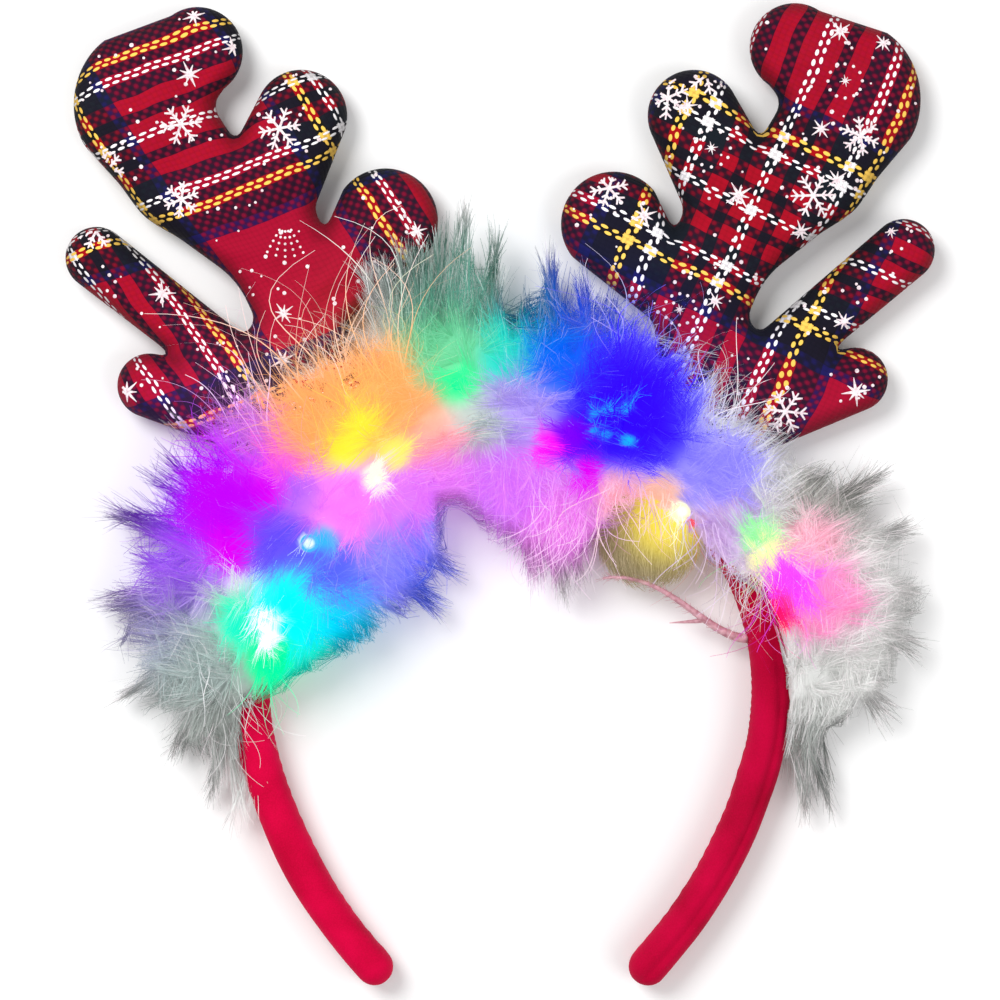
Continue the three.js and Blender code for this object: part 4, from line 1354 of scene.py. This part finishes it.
WISP_PLUMES, WISP_BARBS = 7, 60
WISP_LENGTH = 13 * MM
WISP_SPREAD = 4, 22
WISP_WIDTHS, WISP_PALE, WISP_ROOTED = (0.12, 0.24), 0.42, 0.3
WISP_ROOT_STRAY, WISP_TIP_STRAY, WISP_BEND_STRAY = 1.8 * MM, 1.2 * MM, 2 * MM
rows = np.repeat(np.array(WISPS, float), WISP_PLUMES, axis=0) * MM
roots = rows[:, [0, 1, 4]] + [HOOP_X, HOOP_Y, 0] + draw.normal(0, WISP_ROOT_STRAY, (len(rows), 3))
tips = rows[:, [2, 3, 4]] + [HOOP_X, HOOP_Y, 0] + draw.normal(0, WISP_TIP_STRAY, (len(rows), 3))
bends = (roots + tips) / 2 + draw.normal(0, WISP_BEND_STRAY, (len(rows), 3))
spines = plume_barbs(roots, bends, tips, WISP_LENGTH, WISP_BARBS, WISP_SPREAD, draw)
pale = pale_share(len(spines), WISP_PALE, draw)
boa_strands("boa_wisps", spines, WISP_WIDTHS, pale, WISP_ROOTED, draw)

STRAY_POINTS = 13
STRAY_HEIGHT = 15.2 * MM  # strays pass over the stuffed antlers
STRAY_DROOP = [0, 0, -0.22]
STRAY_FROM = 0.9  # share of the boa's reach where strays begin
STRAY_TURN = 11  # degrees off the heading
STRAY_RISE = -0.05, 0.25
STRAY_BEND, STRAY_HOOK, STRAY_BACK = 0.9, 0.4, 0.9  # bow, hook of the tip, and how far it turns back


def stray_hairs(count, degrees, ways, heading, lengths, draw):
    """Long single barbs that lie out beside the boa: heading 0 is away from the head, 180 to it."""
    degrees = draw.uniform(*degrees, count)
    start = boa_point(degrees, draw.uniform(*ways, count), STRAY_FROM, STRAY_FROM)
    turn = np.radians(degrees + heading + draw.normal(0, STRAY_TURN, count))
    way = np.stack([np.cos(turn), np.sin(turn), draw.uniform(*STRAY_RISE, count)], -1)
    length = draw.uniform(*lengths, (count, 1)) * MM
    across = np.stack([-way[:, 1], way[:, 0], 0 * turn], -1)
    bend = draw.normal(0, STRAY_BEND, (count, 1))
    bow = across * bend + STRAY_DROOP
    hook = across * (draw.normal(0, STRAY_HOOK, (count, 1)) - STRAY_BACK * bend)
    marks = np.linspace(0, 1, STRAY_POINTS)[None, :, None]
    bent = marks * way[:, None] + marks ** 2 * bow[:, None] + marks ** 3 * hook[:, None]
    spines = start[:, None] + length[:, None] * bent
    spines[:, :, 2] = np.maximum(spines[:, :, 2], STRAY_HEIGHT)
    return spines


# groups of strays: count, degrees along the hoop, ways round the boa, heading, lengths, paleness, widths
STRAYS = [
    (44, (106, 138), (20, 60), -12, (16, 38), (1.0, 2.0), (0.28, 0.46)),
    (420, (103, 143), (5, 70), -8, (5, 14), (0, 0.7), (0.16, 0.28)),
    (30, (50, 76), (20, 60), 8, (10, 24), (0.8, 1.8), (0.24, 0.4)),
    (200, (47, 80), (5, 70), 6, (5, 12), (0, 0.9), (0.16, 0.28)),
    (100, (62, 86), (105, 150), 180, (8, 20), (0.8, 1.8), (0.18, 0.34)),
    (150, (18, 44), (60, 140), -122, (7, 19), (0.1, 1.2), (0.18, 0.32)),
    (60, (44, 64), (110, 150), 216, (7, 15), (0.3, 1.2), (0.2, 0.36)),
    (50, (170, 187), (60, 130), 105, (7, 18), (0.6, 1.4), (0.18, 0.32)),
]
for number, (count, *lie, pale, widths) in enumerate(STRAYS, 1):
    spines = stray_hairs(count, *lie, draw)
    boa_strands(f"boa_strays_{number}", spines, widths, draw.uniform(*pale, count), 1.0, draw)


# Loose feather
# One plume has slipped out of the boa on the right: a bare pinkish quill that springs from the band, and
# at its end a round tuft of down lit yellow by the bulb behind it.
QUILL = np.array([(60.7, 12.9, 7), (50, 17.5, 8.6), (38, 25.6, 11), (23.5, 28.4, 11.4)]) * MM
QUILL_RADII = np.array([1.25, 0.3]) * MM
SPUR = np.array([(49.6, 17.7, 8.6), (46.5, 17.3, 8.4), (43.5, 17.1, 8.2), (40.6, 16.9, 8)]) * MM
SPUR_RADII = np.array([0.7, 0.1]) * MM
QUILL_STATIONS, QUILL_SIDES = 40, 14
FUZZ_HAIRS, FUZZ_PLACES, FUZZ_POINTS = 420, 200, 4
FUZZ_LEAN = 0.8
FUZZ_LENGTHS = 1.2, 3.2  # mm
HOOP_CENTRE = np.array([HOOP_X, HOOP_Y, 0])
TUFT_CENTRE = np.array([35.2, 39.8, 9]) * MM + HOOP_CENTRE
TUFT_HALF = np.array([12.9, 12.8, 6.8]) * MM
TUFT_STATIONS, TUFT_SIDES = 40, 56
TUFT_INSIDE = 0.86  # of the tuft's half sizes, for the body under the hairs
TUFT_LUMPS = (0.5, 0.06), (0.2, 0.03)  # size and height, as shares of the half sizes
TUFT_HAIRS, TUFT_POINTS = 4200, 5
TUFT_LIT = TUFT_CENTRE + np.array([5, 5, 4]) * MM  # where the bulb shines through
TUFT_DEEP = [1, 1, 0.3]  # how much each way counts in the distance from there
TUFT_NEAR, TUFT_FAR = 9 * MM, (5 * MM, 17 * MM)
# painted light and shade of the tuft: yellow light near the bulb, grey shade away from it, a painted glow
# where the bulb shines through and a faint painted glow all over
TUFT_LIT_YELLOW = linear(236, 220, 110)
TUFT_SHADE_GREY = linear(180, 166, 132)
TUFT_GLOW, TUFT_FAINT_GLOW = linear(252, 236, 84) * 0.6, 0.14
TUFT_BASE, TUFT_BASE_LOSS = 0.85, 0.4
HAIR_HEIGHTS = -0.75, 1  # where hairs begin, as shares of the half height
HAIR_TURNS, HAIR_SWAY = (0.25, 0.7), 0.12  # radians
HAIR_ROOT, HAIR_LIFT, HAIR_LIFT_POWER = 0.9, (0.02, 0.32), 1.15
FUZZ_WIDTHS, HAIR_WIDTHS = (0.1, 0.2), (0.1, 0.22)  # mm


def quill_finish():
    finish = Finish("pink_quill")
    grain = finish.noise(finish.spot(), scale=700, detail=3)
    tone = finish.ramp(grain, [(0.3, (170, 112, 124)), (0.7, (222, 176, 184))])
    return finish.surface({"Base Color": tone, "Roughness": 0.4})


def quill_spine(knots, count):
    """Smooth row of points through four knots, given from the hoop's centre."""
    shares = np.linspace(0, 1, len(knots))
    curve = np.polyfit(shares, knots, 3)
    return np.stack([np.polyval(powers, np.linspace(0, 1, count)) for powers in curve.T], -1) + HOOP_CENTRE


def quill_tube(name, knots, radii):
    spine = quill_spine(knots, QUILL_STATIONS)
    ahead = unit(np.gradient(spine, axis=0))
    side = unit(np.cross([0, 0, 1], ahead))
    top = np.cross(ahead, side)
    radius = np.linspace(*radii, QUILL_STATIONS)[:, None, None]
    turn = np.linspace(0, 2 * np.pi, QUILL_SIDES, endpoint=False)[None, :, None]
    rings = spine[:, None] + radius * (side[:, None] * np.cos(turn) + top[:, None] * np.sin(turn))
    return ringed_body(name, rings)


def quill_fuzz(count, draw):
    """Short stiff hairs that lean along the quill towards its tip."""
    place = quill_spine(QUILL, FUZZ_PLACES)
    number = draw.integers(0, FUZZ_PLACES - 2, count)
    ahead = unit(place[number + 1] - place[number])
    way = unit(ahead + FUZZ_LEAN * unit(draw.normal(size=(count, 3))))
    length = draw.uniform(*FUZZ_LENGTHS, (count, 1)) * MM
    marks = np.linspace(0, 1, FUZZ_POINTS)[None, :, None]
    return place[number][:, None] + marks * (way * length)[:, None]


def tuft_way(turn, around):
    """Direction from the tuft's middle: turned down from its top, and around."""
    level = np.sin(turn)
    return np.stack([level * np.cos(around), np.cos(turn) + 0 * around, level * np.sin(around)], -1)


def tuft_core():
    turns = np.radians(np.linspace(2, 178, TUFT_STATIONS))[:, None]
    around = np.linspace(0, 2 * np.pi, TUFT_SIDES, endpoint=False)[None, :]
    way = tuft_way(turns, around)
    lumps = 1 + layered_noise(way.reshape(-1, 3), TUFT_LUMPS, 61).reshape(TUFT_STATIONS, TUFT_SIDES, 1)
    return ringed_body("loose_tuft", TUFT_CENTRE + way * TUFT_HALF * TUFT_INSIDE * lumps)


def tuft_paint(piece):
    """Painted light and shade: yellow where the bulb shines through the tuft, olive and grey painted shade
    towards its far edge.
    """
    away = np.linalg.norm((mesh_points(piece) - TUFT_LIT) * TUFT_DEEP, axis=1)
    near = np.exp(-(away / TUFT_NEAR) ** 2)[:, None]
    far = ease(away, *TUFT_FAR)[:, None]
    lit_base = TUFT_LIT_YELLOW * (1 - far) + TUFT_SHADE_GREY * far
    paint(piece, lit_base * (TUFT_BASE - TUFT_BASE_LOSS * near), TUFT_GLOW * near + lit_base * TUFT_FAINT_GLOW)


def tuft_hairs(count, draw):
    """Fine hairs that lie down over the tuft from its top to its quill."""
    marks = np.linspace(0, 1, TUFT_POINTS)[None, :]
    start = np.arccos(draw.uniform(*HAIR_HEIGHTS, (count, 1)))
    turn = start + marks * draw.uniform(*HAIR_TURNS, (count, 1))
    around = draw.uniform(0, 2 * np.pi, (count, 1)) + draw.normal(0, HAIR_SWAY, (count, 1)) * marks
    lift = draw.uniform(*HAIR_LIFT, (count, 1, 1)) ** HAIR_LIFT_POWER
    lift = HAIR_ROOT + marks[:, :, None] * lift
    return TUFT_CENTRE + tuft_way(turn, around) * TUFT_HALF * lift


pink = quill_finish()
fuzz = quill_fuzz(FUZZ_HAIRS, draw)
dress(quill_tube("loose_quill", QUILL, QUILL_RADII), pink, "loose_feather")
dress(quill_tube("loose_spur", SPUR, SPUR_RADII), pink, "loose_feather")
dress(strands("loose_fuzz", fuzz, draw.uniform(*FUZZ_WIDTHS, len(fuzz)) * MM, draw), pink, "loose_feather")
tuft = tuft_core()
tuft_paint(tuft)
dress(tuft, down_finish("down_tuft", 1200), "loose_feather")
spines = tuft_hairs(TUFT_HAIRS, draw)
barbs = strands("loose_down", spines, draw.uniform(*HAIR_WIDTHS, len(spines)) * MM, draw)
tuft_paint(barbs)
dress(barbs, barb_finish, "loose_feather")


# Table, light and camera
# A plain pale table under soft studio light. The camera looks straight down on the front of the headband.
PICTURE_WIDTH = 255 * MM
PICTURE_MIDDLE = HOOP_X - 2.8 * MM, HOOP_Y + 48.4 * MM
FOCUS_HEIGHT = 12 * MM  # height of the plane that fills the picture's width
LENS = 120
SENSOR = 36
TABLE_HALF = 3
TABLE_DROP = 0.2 * MM


def table_top():
    a = TABLE_HALF
    table = mesh_object("table_top", [(-a, -a, 0), (a, -a, 0), (a, a, 0), (-a, a, 0)], [(0, 1, 2, 3)])
    pale = Finish("pale_table").surface({"Base Color": (0.9, 0.9, 0.9, 1), "Roughness": 0.9})
    table.data.materials.append(pale)
    table.location.z = -TABLE_DROP
    table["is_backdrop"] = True


def soft_box(name, place, size, power):
    light = bpy.data.lights.new(name, "AREA")
    light.shape = "DISK"
    light.size = size
    light.energy = power
    lamp = bpy.data.objects.new(name, light)
    lamp.location = place
    lamp.rotation_euler = (-Vector(place)).to_track_quat("-Z", "Y").to_euler()
    bpy.context.scene.collection.objects.link(lamp)


table_top()
soft_box("key_light", (-0.5, 0.45, 0.9), 0.6, 9)
soft_box("fill_light", (0.7, -0.3, 0.8), 0.8, 4)
scene = bpy.context.scene
scene.world = bpy.data.worlds.new("studio")
scene.world.use_nodes = True
sky = scene.world.node_tree.nodes["Background"].inputs
sky["Color"].default_value = (1, 1, 1, 1)
sky["Strength"].default_value = 0.55
scene.view_settings.view_transform = "Standard"
camera = bpy.data.objects.new("camera", bpy.data.cameras.new("camera"))
camera.data.lens = LENS
camera.data.sensor_width = SENSOR
camera.location = (*PICTURE_MIDDLE, PICTURE_WIDTH * LENS / SENSOR + FOCUS_HEIGHT)
scene.collection.objects.link(camera)
scene.camera = camera

low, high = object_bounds()
